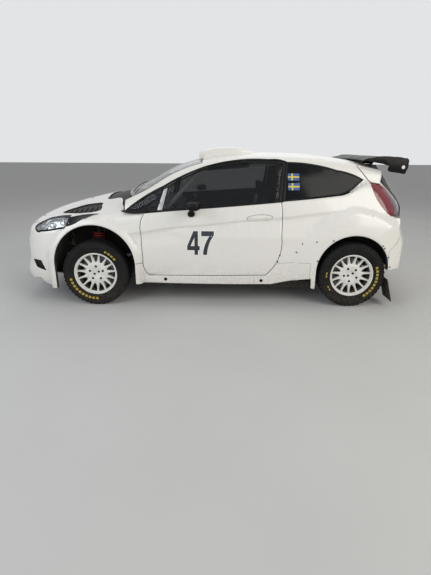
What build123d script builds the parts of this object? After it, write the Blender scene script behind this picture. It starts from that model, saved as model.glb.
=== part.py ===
from build123d import *
import math
import os

# A three-door rally car on gravel tyres, in millimetres.
# +X points to the rear, +Z up, and the car's own left side is -Y.
# The origin is on the ground, under the middle of the car's length and width.

# Driving dimensions
FRONT_AXLE_X = -1150
REAR_AXLE_X = 1340
AXLE_Z = 320
WHEEL_Y = 778
KINGPIN_Y = 632
GAP = 6
DOOR_WALL = 62
SIDE_WALL = 62
SKIN = 26
GLASS = 5
OUTSIDE = -1100
INSIDE = -400

# The lower body is a stack of plan outlines.
# z, x of the nose, x of the tail, half width at the doors
LOWER_LEVELS = [
    (124, -1846, 1834, 802),
    (150, -1880, 1850, 812),
    (232, -1968, 1918, 838),
    (295, -1980, 1945, 846),
    (440, -1936, 1975, 863),
    (580, -1928, 1980, 868),
    (700, -1905, 1932, 864),
    (800, -1880, 1918, 854),
    (900, -1850, 1912, 836),
    (1000, -1800, 1884, 808),
    (1130, -1700, 1786, 762),
    (1210, -1600, 1700, 726),
]
NOSE_DROP = 105
TAIL_DROP = 120
NOSE_R = 360
TAIL_R = 300

# The bonnet and wing tops are a run of crowned sections.
# x, z at the side (740 mm out), z on the centre line
BONNET_STATIONS = [
    (-2010, 640, 715),
    (-1880, 708, 785),
    (-1700, 795, 862),
    (-1500, 850, 920),
    (-1300, 874, 970),
    (-1100, 892, 1016),
    (-860, 922, 1070),
    (-620, 960, 1140),
]
BONNET_EDGE_Y = 740

# The cabin is a run of sections from the foot of the windscreen to the tail.
# x, half width at the bottom, half width at the rail, z of the rail, z on the centre line
CABIN_STATIONS = [
    (-980, 784, 742, 958, 1024),
    (-880, 792, 738, 996, 1068),
    (-660, 812, 712, 1098, 1170),
    (-370, 824, 680, 1262, 1322),
    (-110, 828, 656, 1350, 1392),
    (200, 830, 636, 1392, 1430),
    (550, 826, 626, 1404, 1446),
    (900, 816, 616, 1392, 1438),
    (1250, 794, 600, 1352, 1400),
    (1400, 776, 592, 1328, 1377),
    (1640, 740, 580, 1280, 1330),
]
RAIL_R = 46
CABIN_FLOOR_Z = 850

# The line between roof and side, from above: x, distance from the centre line
ROOF_EDGE = [
    (-980, 722),
    (-660, 688),
    (-370, 654),
    (-110, 630),
    (200, 610),
    (550, 600),
    (900, 590),
    (1250, 574),
    (1640, 556),
]
WINDSCREEN_TOP_X = -118
ROOF_END_X = 1388

# The tailgate's outer face by height: z, x on the centre line, x at its edges
TAIL_LEVELS = [
    (690, 1926, 1866),
    (830, 1918, 1856),
    (930, 1908, 1842),
    (1010, 1880, 1812),
    (1122, 1792, 1732),
    (1240, 1684, 1640),
    (1330, 1596, 1560),
]
TAIL_EDGE_Y = 620

# Wheel arches: x, z and radius of the opening, radius of the flare, half width of the flare
FRONT_ARCH = (-1146, 412, 388, 448, 902)
REAR_ARCH = (1336, 364, 352, 556, 908)

# Outlines seen from the side, as x, z corners; four numbers are an arc through x, z to x, z
DOOR_LOWER = [
    (-655, 900),
    (-686, 830, -693, 740),
    (-681, 460),
    (-666, 350, -633, 302),
    (500, 320),
    (598, 440, 637, 700),
    (640, 860, 628, 1006),
    (240, 972, -120, 944),
]
DOOR_WINDOW_FRAME = [
    (-520, 900),
    (-466, 1126),
    (-280, 1226, -90, 1306),
    (200, 1364, 520, 1374),
    (600, 1372, 672, 1360),
    (628, 980),
]
DOOR_GLASS = [
    (-480, 936),
    (-430, 1126),
    (-260, 1220, -90, 1288),
    (200, 1342, 500, 1352),
    (580, 1350, 640, 1340),
    (602, 1010),
]
QUARTER_GLASS = [
    (668, 1024),
    (960, 1050, 1228, 1082),
    (1310, 1132, 1374, 1206),
    (1374, 1236, 1300, 1258),
    (1000, 1328, 690, 1360),
]
SAIL_GLASS = [(-808, 934), (-680, 936, -548, 944), (-504, 1104), (-640, 1046)]
HEADLIGHT = [
    (-1900, 700),
    (-1880, 764),
    (-1790, 806, -1597, 838),
    (-1500, 856, -1396, 862),
    (-1420, 790, -1500, 745),
    (-1600, 716, -1700, 704),
]
TAIL_LIGHT = [
    (1478, 1160),
    (1510, 1074),
    (1560, 990, 1640, 912),
    (1720, 868, 1830, 840),
    (1860, 900),
    (1800, 1010, 1720, 1090),
    (1600, 1150),
]


def at_y(y):
    return lambda p: (p[0], y, p[1])


def at_z(z):
    return lambda p: (p[0], p[1], z)


def at_x(x):
    return lambda p: (x, p[0], p[1])


def outline(points, place):
    """A closed face through the points; a point of four numbers is an arc."""
    edges = []
    start = points[0]
    for point in points[1:]:
        end = point[-2:]
        if len(point) == 2:
            edges.append(Line(place(start), place(end)))
        else:
            edges.append(ThreePointArc(place(start), place(point[:2]), place(end)))
        start = end
    if start != points[0]:
        edges.append(Line(place(start), place(points[0])))
    return Face(Wire(edges))


def side_prism(points, y0, y1):
    """An outline seen from the side, from y0 to y1."""
    return extrude(outline(points, at_y(y0)), amount=y1 - y0, dir=(0, 1, 0))


def plan_prism(points, z0, z1):
    """An outline seen from above, from z0 to z1."""
    return extrude(outline(points, at_z(z0)), amount=z1 - z0, dir=(0, 0, 1))


def front_prism(points, x0, x1):
    """An outline seen from the front, from x0 to x1."""
    return extrude(outline(points, at_x(x0)), amount=x1 - x0, dir=(1, 0, 0))


def block(x0, x1, y0, y1, z0, z1):
    """A plain box between two corners."""
    return Pos(x0, y0, z0) * Box(x1 - x0, y1 - y0, z1 - z0, align=(Align.MIN, Align.MIN, Align.MIN))


def drum_y(x, z, radius, y0, y1):
    """A cylinder across the car."""
    return Pos(x, (y0 + y1) / 2, z) * Rot(90, 0, 0) * Cylinder(radius, abs(y1 - y0))


def other_side(shape):
    return mirror(shape, about=Plane.XZ)


def lower_body(inset):
    """The lower body's outer form, moved inwards by the inset."""
    faces = []
    for z, nose, tail, half in LOWER_LEVELS:
        nose_x = nose + inset
        tail_x = tail - inset
        half_w = half - inset
        front = (nose_x + NOSE_DROP, half_w - 26)
        rear = (tail_x - TAIL_DROP, half_w - 40)
        points = [
            (front[0], -front[1]),
            (0, -half_w, rear[0], -rear[1]),
            (tail_x, 0, rear[0], rear[1]),
            (0, half_w, front[0], front[1]),
            (nose_x, 0, front[0], -front[1]),
        ]
        face = outline(points, at_z(z))
        corners = face.vertices().sort_by(Axis.X)
        face = face.fillet_2d(NOSE_R - inset, corners[:2])
        corners = face.vertices().filter_by(lambda v: abs(v.X - rear[0]) < 1 and abs(abs(v.Y) - rear[1]) < 1)
        faces.append(face.fillet_2d(TAIL_R - inset, corners))
    return loft(faces, ruled=True)


def bonnet_form(inset):
    """Everything under the bonnet's and wings' top surface."""
    faces = []
    half = 1000
    for x, side_z, middle_z in BONNET_STATIONS:
        drop = (middle_z - side_z) * (half / BONNET_EDGE_Y) ** 2
        top = middle_z - inset
        points = [
            (-half, 100),
            (half, 100),
            (half, top - drop),
            (0, top, -half, top - drop),
        ]
        faces.append(outline(points, at_x(x)))
    return loft(faces, ruled=True)


def cabin_form(inset):
    """The cabin's outer form above the belt, moved inwards by the inset."""
    faces = []
    for x, bottom_w, rail_w, rail_z, middle_z in CABIN_STATIONS:
        low = bottom_w - inset
        rail = rail_w - inset * 0.8
        rail_top = rail_z - inset * 0.8
        middle_w = (low + rail) / 2 + 10
        middle_side_z = (CABIN_FLOOR_Z + rail_top) / 2
        points = [
            (-low, CABIN_FLOOR_Z),
            (low, CABIN_FLOOR_Z),
            (middle_w, middle_side_z, rail, rail_top),
            (0, middle_z - inset, -rail, rail_top),
            (-middle_w, middle_side_z, -low, CABIN_FLOOR_Z),
        ]
        face = outline(points, at_x(x))
        rails = face.vertices().sort_by(Axis.Z)[-2:]
        faces.append(face.fillet_2d(RAIL_R - inset / 2, rails))
    return loft(faces, ruled=True)


def arch_cut(arch, y0, y1, extra=0):
    """The wheel opening: a half circle over straight sides."""
    x, z, radius = arch[0], arch[1], arch[2] + extra
    points = [(x - radius, 0), (x - radius, z), (x, z + radius, x + radius, z), (x + radius, 0)]
    return side_prism(points, y0, y1)


def flare(arch, y_in):
    """The raised ring round a left wheel opening: a rolled lip, a near-flat band and a soft shoulder."""
    x, z, lip, edge, half = arch
    band = lip + (edge - lip) * 0.45
    profile = [
        (lip - 4, -half + 12),
        (lip + 4, -half + 2, lip + 16, -half),
        (band, -half + 5),
        (edge - 24, -half + 17, edge, -half + 62),
        (edge, -y_in),
        (lip - 4, -y_in),
    ]
    face = outline(profile, lambda p: (x + p[0], p[1], z))
    ring = revolve(face, axis=Axis((x, 0, z), (0, 1, 0)), revolution_arc=360)
    return ring & block(x - 700, x + 700, OUTSIDE, 0, z - 300, z + 700)


# From above, the rear flare fades into the corner of the tail
REAR_FLARE_PLAN = [(700, -908), (1480, -908), (1716, -862, 1880, -752), (1880, -600), (700, -600)]


def rear_flare():
    return flare(REAR_ARCH, 800) & plan_prism(REAR_FLARE_PLAN, 0, 1100)


def biggest(shape):
    return shape.solids().sort_by(SortBy.VOLUME)[-1]


def roof_plan(x0, x1, inset):
    """The plan outline between the roof edges, from x0 to x1."""
    side = []
    for (xa, ya), (xb, yb) in zip(ROOF_EDGE, ROOF_EDGE[1:]):
        for x, y in ((xa, ya), (xb, yb)):
            if x0 < x < x1 and (x, y) not in side:
                side.append((x, y))
    ends = [(x, edge_y(x)) for x in (x0, x1)]
    near = [(x, -(y - inset)) for x, y in [ends[0]] + side + [ends[1]]]
    far = [(x, -y) for x, y in reversed(near)]
    return near + far


def edge_y(x):
    """Half width of the roof edge at x."""
    for (xa, ya), (xb, yb) in zip(ROOF_EDGE, ROOF_EDGE[1:]):
        if xa <= x <= xb:
            return ya + (yb - ya) * (x - xa) / (xb - xa)
    return ROOF_EDGE[-1][1]


def grown_prism(points, by, y0, y1):
    """The prism of an outline pushed outwards, for the gap round a lid or a door."""
    wire = outline(points, at_y(0)).outer_wire().offset_2d(by, kind=Kind.INTERSECTION)
    return extrude(Pos(0, y0, 0) * Face(wire), amount=y1 - y0, dir=(0, 1, 0))


def tube(points, radius, bend=60):
    """A round tube along straight runs joined by bends."""
    path = FilletPolyline(*points, radius=bend) if len(points) > 2 else Line(*points)
    start = Plane(origin=path @ 0, z_dir=path % 0)
    return sweep(start * Circle(radius), path=path)


def tail_form(inset):
    """Everything in front of the tailgate's outer face."""
    faces = []
    for z, middle_x, edge_x in TAIL_LEVELS:
        side_x = middle_x - (middle_x - edge_x) * (760 / TAIL_EDGE_Y) ** 2
        points = [
            (1200, -760),
            (side_x - inset, -760),
            (middle_x - inset, 0, side_x - inset, 760),
            (1200, 760),
        ]
        faces.append(outline(points, at_z(z)))
    return loft(faces, ruled=True)


LOWER_0 = lower_body(0)
LOWER_SKIN = lower_body(SKIN)
LOWER_WALL = lower_body(SIDE_WALL)
BONNET_0 = bonnet_form(0)
BONNET_SKIN = bonnet_form(SKIN)
CABIN_0 = cabin_form(0)
CABIN_GLASS_OUT = cabin_form(6)
CABIN_GLASS_IN = cabin_form(6 + GLASS)
CABIN_WALL = cabin_form(42)
FRONT_SHELL = (LOWER_0 & BONNET_0) - (LOWER_SKIN & BONNET_SKIN)
LOWER_SHELL = LOWER_0 - LOWER_WALL
CABIN_SHELL = CABIN_0 - CABIN_WALL

SIDE_TOP = [
    (-2100, 0),
    (-2100, 940),
    (-900, 940),
    (-900, 918),
    (-790, 895, -655, 900),
    (-120, 944),
    (628, 1006),
    (1240, 1086),
    (1362, 1130),
    (1484, 1180),
    (2100, 1180),
    (2100, 0),
]
BELOW_BELT = side_prism(SIDE_TOP, OUTSIDE, 0)
# Below this line the door and the panel behind it turn in to a recessed foot
FOOT_ZONE = [
    (-700, 306),
    (-700, 326),
    (-635, 331),
    (-356, 340),
    (61, 358),
    (475, 405),
    (598, 427),
    (780, 456),
    (780, 306),
]
FOOT_DEPTH = 11
FOOT_RECESS = (LOWER_0 - lower_body(FOOT_DEPTH)) & side_prism(FOOT_ZONE, OUTSIDE, OUTSIDE + 600)
JACK_X = (-474, 463)
JACK_Z = 261
JACK_R = 16
JACK_TUBE_R = 24
JACK_TUBE_Y = (-848, -772)
MIRROR_X = -184


def door():
    """The left door: skin, thickness and window frame in one."""
    lower = (LOWER_SHELL - FOOT_RECESS) & side_prism(DOOR_LOWER, OUTSIDE, INSIDE)
    frame = CABIN_SHELL & side_prism(DOOR_WINDOW_FRAME, OUTSIDE, INSIDE)
    frame -= plan_prism(roof_plan(-900, ROOF_END_X, -GAP), 900, 1500)
    frame -= side_prism(DOOR_GLASS, OUTSIDE, INSIDE)
    return biggest(lower + frame)


def door_glass():
    return biggest((CABIN_GLASS_OUT - CABIN_GLASS_IN) & side_prism(DOOR_GLASS, OUTSIDE, INSIDE))


def mirror_left():
    """A small mirror on a round foot."""
    foot = drum_y(MIRROR_X - 34, 896, 30, -862, -830)
    stalk = block(MIRROR_X - 30, MIRROR_X - 6, -900, -846, 896, 966)
    head = block(MIRROR_X - 66, MIRROR_X + 66, -1040, -886, 950, 1030)
    head = fillet(head.edges().filter_by(Axis.Y), 26)
    head = chamfer(head.faces().sort_by(Axis.X)[0].edges(), 12)
    return biggest((foot + stalk + head) - lower_body(-0.4) - cabin_form(-0.4))


SIDE_PANEL = [
    (-757, 208),
    (-757, 426),
    (-660, 426),
    (-660, 640),
    (-665, 830, -655, 900),
    (-790, 895, -900, 918),
    (-900, 960),
    (-700, 1140),
    (-300, 1400),
    (100, 1500),
    (1340, 1500),
    (1362, 1325),
    (1484, 1180),
    (1478, 1160),
    (1510, 1074),
    (1560, 990, 1640, 912),
    (1720, 868, 1830, 840),
    (1762, 700),
    (1740, 640),
    (1668, 560),
    (1668, 208),
]


def side_frame():
    """The left side: sill, pillars, roof rail and rear quarter with its flare."""
    rail = plan_prism([(-1000, -1000), (1700, -1000)] + [(x, -y) for x, y in reversed(ROOF_EDGE)], 864, 1500)
    upper = CABIN_SHELL & rail
    zone = side_prism(SIDE_PANEL, OUTSIDE, INSIDE)
    shape = (((LOWER_SHELL - FOOT_RECESS) & BELOW_BELT) + upper) & zone
    shape += rear_flare() & zone
    shape -= grown_prism(DOOR_LOWER, GAP, OUTSIDE, INSIDE)
    shape -= grown_prism(DOOR_WINDOW_FRAME, GAP, OUTSIDE, INSIDE)
    shape -= side_prism(QUARTER_GLASS, OUTSIDE, INSIDE)
    shape -= side_prism(SAIL_GLASS, OUTSIDE, INSIDE)
    shape -= arch_cut(REAR_ARCH, OUTSIDE, INSIDE)
    shape -= plan_prism(FRONT_OPENING, 800, 1300)
    shape -= front_prism(grown_gate(GAP), 1500, 2100)
    for x in JACK_X:
        shape += drum_y(x, JACK_Z, JACK_TUBE_R, *JACK_TUBE_Y)
        shape -= drum_y(x, JACK_Z, JACK_R, -1000, -600)
    return biggest(shape)


def side_glass():
    """The fixed panes of the left side: rear quarter and the small one at the front."""
    layer = CABIN_GLASS_OUT - CABIN_GLASS_IN
    quarter = biggest(layer & side_prism(QUARTER_GLASS, OUTSIDE, INSIDE))
    sail = biggest(layer & side_prism(SAIL_GLASS, OUTSIDE, INSIDE))
    return [quarter, sail]


def roof_panel():
    plan = plan_prism(roof_plan(WINDSCREEN_TOP_X, ROOF_END_X, 1), 1100, 1500)
    return biggest((CABIN_0 - cabin_form(24)) & plan)


def windscreen():
    plan = roof_plan(-900, WINDSCREEN_TOP_X - 2, 2)
    near_foot = (-780, -(edge_y(-780) - 2))
    far_foot = (-780, edge_y(-780) - 2)
    kept = [p for p in plan if p[0] > -780]
    half = len(kept) // 2
    points = [near_foot] + kept[:half] + kept[half:] + [far_foot, (-905, 0, *near_foot)]
    return biggest((cabin_form(4) - cabin_form(10)) & plan_prism(points, 855, 1500))


BONNET_PLAN = [
    (-1995, -520),
    (-1800, -580),
    (-1560, -672),
    (-1400, -714),
    (-1150, -738),
    (-866, -742),
    (-1000, -590),
    (-1092, 0, -1000, 590),
    (-866, 742),
    (-1150, 738),
    (-1400, 714),
    (-1560, 672),
    (-1800, 580),
    (-1995, 520),
]
FRONT_OPENING = [
    (-1995, -526),
    (-1800, -586),
    (-1560, -678),
    (-1400, -720),
    (-1150, -744),
    (-854, -748),
    (-772, -703),
    (-772, 0),
    (-1995, 0),
]
COWL_PLAN = [
    (-860, -738),
    (-995, -586),
    (-1086, 0, -995, 586),
    (-860, 738),
    (-778, 690),
    (-900, 0, -778, -690),
]
BONNET_LIP_Z = 748
# Air outlets in the bonnet's left side, from above
SIDE_VENT = [
    (-1484, -612),
    (-1420, -572, -1290, -552),
    (-1150, -556),
    (-1122, -610, -1134, -664),
    (-1290, -668, -1484, -612),
]
VENT_DEPTH = 18


def lamp_zone(by):
    return grown_prism(HEADLIGHT, by, -1000, -508 + by)


def bonnet():
    """The bonnet with its turned-down nose."""
    shape = FRONT_SHELL & plan_prism(BONNET_PLAN, BONNET_LIP_Z, 1200)
    vent = (BONNET_0 - bonnet_form(VENT_DEPTH)) & plan_prism(SIDE_VENT, 800, 1200)
    for cut in (lamp_zone(GAP), vent):
        shape -= cut
        shape -= other_side(cut)
    return biggest(shape)


def cowl():
    """The dark scuttle panel between bonnet and windscreen."""
    return biggest((bonnet_form(14) - bonnet_form(34)) & plan_prism(COWL_PLAN, 855, 1200))


FENDER_SIDE = [
    (-1505, 380),
    (-1505, 742),
    (-1420, 790, -1393, 862),
    (-1393, 1100),
    (-902, 1100),
    (-902, 915),
    (-792, 892, -657, 897),
    (-657, 640),
    (-657, 430),
    (-820, 430),
]


def fender():
    """The left front wing with its flare."""
    shape = FRONT_SHELL & side_prism(FENDER_SIDE, OUTSIDE, INSIDE)
    zone = side_prism(FENDER_SIDE, OUTSIDE, INSIDE)
    shape += flare(FRONT_ARCH, 790) & zone
    shape -= plan_prism(FRONT_OPENING, 600, 1300)
    shape -= grown_prism(DOOR_LOWER, GAP, OUTSIDE, INSIDE)
    shape -= arch_cut(FRONT_ARCH, OUTSIDE, INSIDE)
    return biggest(shape - lamp_zone(2))


def headlight():
    form = (LOWER_0 & BONNET_0) - (lower_body(60) & bonnet_form(50))
    return biggest(form & side_prism(HEADLIGHT, -1000, -508))


BUMPER_SIDE = [
    (-2010, 202),
    (-2010, 742),
    (-1905, 742),
    (-1900, 697),
    (-1700, 701),
    (-1600, 713, -1506, 742),
    (-1509, 540),
    (-1509, 134),
    (-1678, 136),
    (-1704, 196),
    (-1800, 202),
]
FOG_POCKET = [(-1868, 398), (-1778, 350), (-1742, 274), (-1840, 300)]
GRILLE_FRONT = [
    (-430, 440),
    (430, 440),
    (560, 350, 500, 250),
    (-500, 250),
    (-560, 350, -430, 440),
]
UPPER_GRILLE_FRONT = [(-420, 640), (420, 640), (470, 700), (-470, 700)]


def front_bumper():
    """The front bumper with its air openings and corner pockets."""
    shape = (LOWER_0 - lower_body(34)) & BONNET_0
    shape &= side_prism(BUMPER_SIDE, OUTSIDE, -OUTSIDE)
    corner = [(-1680, 134), (-1680, 700), (-1509, 700), (-1509, 134)]
    ring = flare(FRONT_ARCH, 790) & side_prism(corner, OUTSIDE, INSIDE)
    shape += ring
    shape += other_side(ring)
    shape -= front_prism(GRILLE_FRONT, -2050, -1750)
    shape -= front_prism(UPPER_GRILLE_FRONT, -2050, -1750)
    for cut in (arch_cut(FRONT_ARCH, OUTSIDE, INSIDE), side_prism(FOG_POCKET, OUTSIDE, -600)):
        shape -= cut
        shape -= other_side(cut)
    return biggest(shape)


def grille():
    """The mesh behind the bumper's openings, as slats in a frame."""
    layer = lower_body(40) - lower_body(56)
    low = biggest(layer & front_prism([(-580, 236), (580, 236), (580, 456), (-580, 456)], -2050, -1700))
    for z in range(262, 440, 30):
        low -= front_prism([(-520, z), (520, z), (520, z + 18), (-520, z + 18)], -2050, -1700)
    high = biggest(layer & front_prism([(-490, 628), (490, 628), (490, 712), (-490, 712)], -2050, -1700))
    high -= front_prism([(-450, 648), (450, 648), (450, 664), (-450, 664)], -2050, -1700)
    high -= front_prism([(-450, 676), (450, 676), (450, 692), (-450, 692)], -2050, -1700)
    return [biggest(low), biggest(high)]


REAR_BUMPER_SIDE = [
    (1672, 296),
    (1672, 560),
    (1744, 638),
    (1766, 700),
    (1834, 838),
    (2050, 838),
    (2050, 296),
]
PLATE_RECESS = [(-268, 508), (268, 508), (268, 628), (-268, 628)]
PLATE_DEPTH = 10


def rear_bumper():
    shape = (LOWER_0 - lower_body(40)) & side_prism(REAR_BUMPER_SIDE, OUTSIDE, -OUTSIDE)
    ring = rear_flare() & side_prism(REAR_BUMPER_SIDE, OUTSIDE, -700)
    shape += ring
    shape += other_side(ring)
    gate = front_prism(grown_gate(GAP), 1500, 2100)
    plate = (LOWER_0 - lower_body(PLATE_DEPTH)) & front_prism(PLATE_RECESS, 1800, 2100)
    cut = arch_cut(REAR_ARCH, OUTSIDE, INSIDE)
    return biggest(shape - gate - plate - cut - other_side(cut))


def tail_light():
    form = LOWER_0 - lower_body(44)
    return biggest(form & side_prism(TAIL_LIGHT, -1000, -600))


def grown_gate(by):
    """The tailgate's outline from behind with the gap round it."""
    return [(y + math.copysign(by, y), z - by if z < 720 else z) for y, z in TAILGATE_REAR]


TAILGATE_REAR = [
    (-586, 708),
    (586, 708),
    (590, 830),
    (560, 1180),
    (520, 1340),
    (-520, 1340),
    (-560, 1180),
    (-590, 830),
]
TAILGATE_GLASS = [
    (-520, 1040),
    (0, 1015, 520, 1040),
    (480, 1262),
    (0, 1296, -480, 1262),
]
SPOILER_SIDE = [
    (1392, 1500),
    (1366, 1327),
    (1489, 1184),
    (1590, 1166),
    (1612, 1249),
    (1622, 1500),
]


def tailgate():
    """The tailgate with its roof spoiler and the ears beside the rear window."""
    door_part = (tail_form(0) - tail_form(46)) & front_prism(TAILGATE_REAR, 1400, 2100)
    top = CABIN_SHELL & side_prism(SPOILER_SIDE, OUTSIDE, -OUTSIDE)
    top -= block(1300, ROOF_END_X + GAP, -590, 590, 1200, 1500)
    shape = door_part + top
    shape -= front_prism(TAILGATE_GLASS, 1600, 2100) & (tail_form(10) + tail_form(0))
    return biggest(shape)


def tailgate_glass():
    return biggest((tail_form(8) - tail_form(13)) & front_prism(TAILGATE_GLASS, 1560, 2100))


WING_PLATE = [
    (1440, 1380),
    (1483, 1399),
    (1547, 1418),
    (1620, 1421, 1708, 1416),
    (1805, 1402),
    (1848, 1371),
    (1838, 1262),
    (1690, 1288),
    (1560, 1352),
]
WING_BLADE = [
    (1420, 1384),
    (1560, 1412, 1700, 1408),
    (1800, 1398),
    (1798, 1388),
    (1600, 1376, 1420, 1376),
]


def rear_wing():
    """The rear wing: blade, end plates and two stays."""
    blade = side_prism(WING_BLADE, -590, 590)
    shape = blade
    for y in (-600, 588):
        shape += side_prism(WING_PLATE, y, y + 12)
    for y in (-330, 322):
        shape += side_prism([(1500, 1345), (1600, 1330), (1640, 1392), (1520, 1392)], y, y + 8)
    return biggest(shape - CABIN_0)


def roof_scoop():
    """The raised air intake at the front of the roof."""
    profile = [(-136, 1360), (-164, 1437), (20, 1496, 210, 1494), (330, 1478, 420, 1440), (420, 1360)]
    plan = [(-180, -164), (150, -186, 420, -120), (420, 120), (150, 186, -180, 164)]
    form = side_prism(profile, -200, 200) & plan_prism(plan, 1300, 1600)
    top = [e for e in form.edges() if e.center().Z > 1440 and abs(e.center().Y) > 60]
    form = fillet(top, 22)
    mouth = [(-200, 1340), (-200, 1424), (-160, 1424), (20, 1478, 160, 1478), (160, 1340)]
    form -= side_prism(mouth, -140, 140)
    return biggest(form - cabin_form(-0.5))


# Half sections of rim and tyre: distance from the axle, place along it with the outer face positive
RIM_SECTION = [
    (176, -98),
    (208, -98),
    (208, -90),
    (192, -80),
    (186, -60),
    (180, 20),
    (190, 78),
    (208, 90),
    (208, 98),
    (196, 98),
    (180, 76),
    (170, 20),
    (176, -60),
]
TYRE_SECTION = [
    (209, -92),
    (240, -103),
    (276, -104),
    (306, -97),
    (318, -86),
    (320, -40),
    (320, 40),
    (318, 86),
    (306, 97),
    (276, 104),
    (240, 103),
    (209, 92),
    (216, 84),
    (240, 94),
    (296, 90),
    (306, 70),
    (306, -70),
    (296, -90),
    (240, -94),
    (216, -84),
]


def wheel(x, side):
    """Rim and tyre at one corner; side is -1 on the left."""
    y = side * WHEEL_Y
    axle = Axis((x, 0, AXLE_Z), (0, 1, 0))
    rim = revolve(outline(RIM_SECTION, lambda p: (x + p[0], y + side * p[1], AXLE_Z)), axis=axle)
    for i in range(15):
        spoke = Pos(x, y + side * 62, AXLE_Z) * Rot(0, i * 24, 0) * Pos(125, 0, 0) * Box(118, 26, 15)
        rim += spoke
    hub = drum_y(x, AXLE_Z, 72, y + side * 30, y + side * 78)
    rim += hub
    disc = drum_y(x, AXLE_Z, 146, y - side * 24, y - side * 4)
    stub = drum_y(x, AXLE_Z, 60, y - side * 24, y + side * 40)
    rim += disc
    rim += stub
    tyre = outline(TYRE_SECTION, lambda p: (x + p[0], y + side * p[1], AXLE_Z))
    return rim, revolve(tyre, axis=axle)


def knuckle(side):
    """The steered upright with its strut, brake caliper and steering arm."""
    y = side * KINGPIN_Y
    strut = Pos(FRONT_AXLE_X, y, 610) * Cylinder(24, 420)
    body = block(-38, 38, -30, 46, 200, 420)
    body = Pos(FRONT_AXLE_X, y if side > 0 else y - 16, 0) * body
    arm = block(FRONT_AXLE_X + 20, FRONT_AXLE_X + 150, y - 14, y + 14, 270, 296)
    spring_seat = Pos(FRONT_AXLE_X, y - side * 22, 690) * Cylinder(44, 12)
    return biggest(strut + body + arm + spring_seat)


FLOOR_SIDE = [
    (-742, 900),
    (-742, 420),
    (-640, 208),
    (960, 208),
    (1060, 396),
    (1800, 396),
    (1800, 680),
    (1788, 680),
    (1788, 412),
    (1050, 412),
    (950, 224),
    (-630, 224),
    (-726, 424),
    (-726, 900),
]


def floor_pan():
    """Floor, bulkhead, tunnel, boot floor and the rear wheel housings."""
    shape = side_prism(FLOOR_SIDE, -560, 560)
    shape += block(1060, 1600, -606, 606, 396, 412)
    shape += block(-640, 960, -748, 748, 208, 224)
    shape += block(-742, -726, -760, 760, 430, 880)
    for side in (-1, 1):
        shape += block(540, 976, side * 690 - 54, side * 690 + 54, 156, 209)
    tunnel = front_prism([(-130, 216), (-100, 350), (100, 350), (130, 216)], -735, 960)
    shape += tunnel
    shape -= front_prism([(-114, 200), (-86, 336), (86, 336), (114, 200)], -800, 1090)
    for side in (-1, 1):
        tub = drum_y(REAR_ARCH[0], REAR_ARCH[1], 386, side * 600, side * 758)
        tub -= drum_y(REAR_ARCH[0], REAR_ARCH[1], 374, side * 612, side * 800)
        tub -= block(900, 1800, -900, 900, 0, 396)
        shape += tub
    return biggest(shape)


SEAT_Y = 370
STEER_PLACE = Pos(-150, -SEAT_Y, 880) * Rot(0, 68, 0)


def dashboard():
    section = [(-700, 740), (-700, 900), (-560, 948, -420, 930), (-360, 880), (-390, 760), (-520, 700)]
    column = STEER_PLACE * (Pos(0, 0, -190) * Cylinder(24, 232))
    return biggest(side_prism(section, -640, 640) + column)


SEAT_HALF = 222
SEAT_BACK = 100


def seat(y):
    """A one-piece racing bucket seat."""
    side_view = [
        (50, 300),
        (20, 420, 40, 470),
        (290, 430),
        (410, 700, 480, 1080),
        (560, 1090),
        (584, 1060),
        (510, 600, 430, 320),
        (350, 268),
        (90, 268),
    ]
    hollow = [
        (-30, 330),
        (-30, 900),
        (100, 1200),
        (556, 1200),
        (536, 1060),
        (450, 660, 340, 352),
        (100, 300),
    ]
    shape = side_prism(side_view, y - SEAT_HALF, y + SEAT_HALF)
    shape -= side_prism(hollow, y - SEAT_HALF + 34, y + SEAT_HALF - 34)
    for foot in (-1, 1):
        shape += block(110, 330, y + foot * 160 - 14, y + foot * 160 + 14, 224, 300)
    return Pos(SEAT_BACK, 0, 0) * biggest(shape)


HOOP_X = 790
CAGE_R = 20


def cage_bar(*points):
    return tube(points, CAGE_R, 70)


def roll_cage():
    """Main hoop, front legs, roof bars, diagonals, door bars and rear stays."""
    shape = cage_bar(
        (HOOP_X, -700, 226),
        (HOOP_X, -690, 900),
        (HOOP_X, -560, 1366),
        (HOOP_X, 560, 1366),
        (HOOP_X, 690, 900),
        (HOOP_X, 700, 226),
    )
    for s in (-1, 1):
        foot = (-560, s * 700, 226)
        shape += cage_bar(foot, (-560, s * 700, 820), (-130, s * 590, 1300), (HOOP_X, s * 470, 1366))
        shape += cage_bar((-560, s * 700, 560), (HOOP_X, s * 698, 500))
        shape += cage_bar((-560, s * 700, 330), (HOOP_X, s * 698, 380))
        shape += cage_bar((HOOP_X, s * 600, 1240), (1420, s * 500, 600))
    shape += cage_bar((-150, -595, 1278), (-150, 595, 1278))
    shape += cage_bar((HOOP_X, -500, 1366), (HOOP_X, 694, 700))
    return biggest(shape)


def steering_wheel():
    """A dished three-spoke wheel on a short boss."""
    ring = Torus(160, 14)
    shape = ring + Pos(0, 0, -40) * Cylinder(34, 60)
    for a in (90, 210, 330):
        shape += Rot(0, 0, a) * Pos(88, 0, -14) * Box(146, 24, 10)
    return STEER_PLACE * shape


def front_chassis():
    """Front rails, inner wings with strut towers, radiator, cross-member and lower arms."""
    shape = block(-1300, -1000, -310, 310, 204, 244)
    for side in (-1, 1):
        shape += block(-1790, -742.1, side * 440 - 28, side * 440 + 28, 420, 500)
        shape += block(-1460, -742.1, side * 473 - 5, side * 473 + 5, 420, 850)
        shape += block(-1235, -1065, *sorted((side * 470, side * 700)), 826, 838)
        arm = [(-1290, 300), (-1250, 240), (-1050, 240), (-1010, 300), (-1120, 585), (-1180, 585)]
        shape += plan_prism([(x, side * y) for x, y in arm], 186, 212)
        shape += block(-1290, -1250, *sorted((side * 300, side * 460)), 204, 430)
    shape += block(-1790, -1740, -470, 470, 400, 640)
    return biggest(shape)


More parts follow.
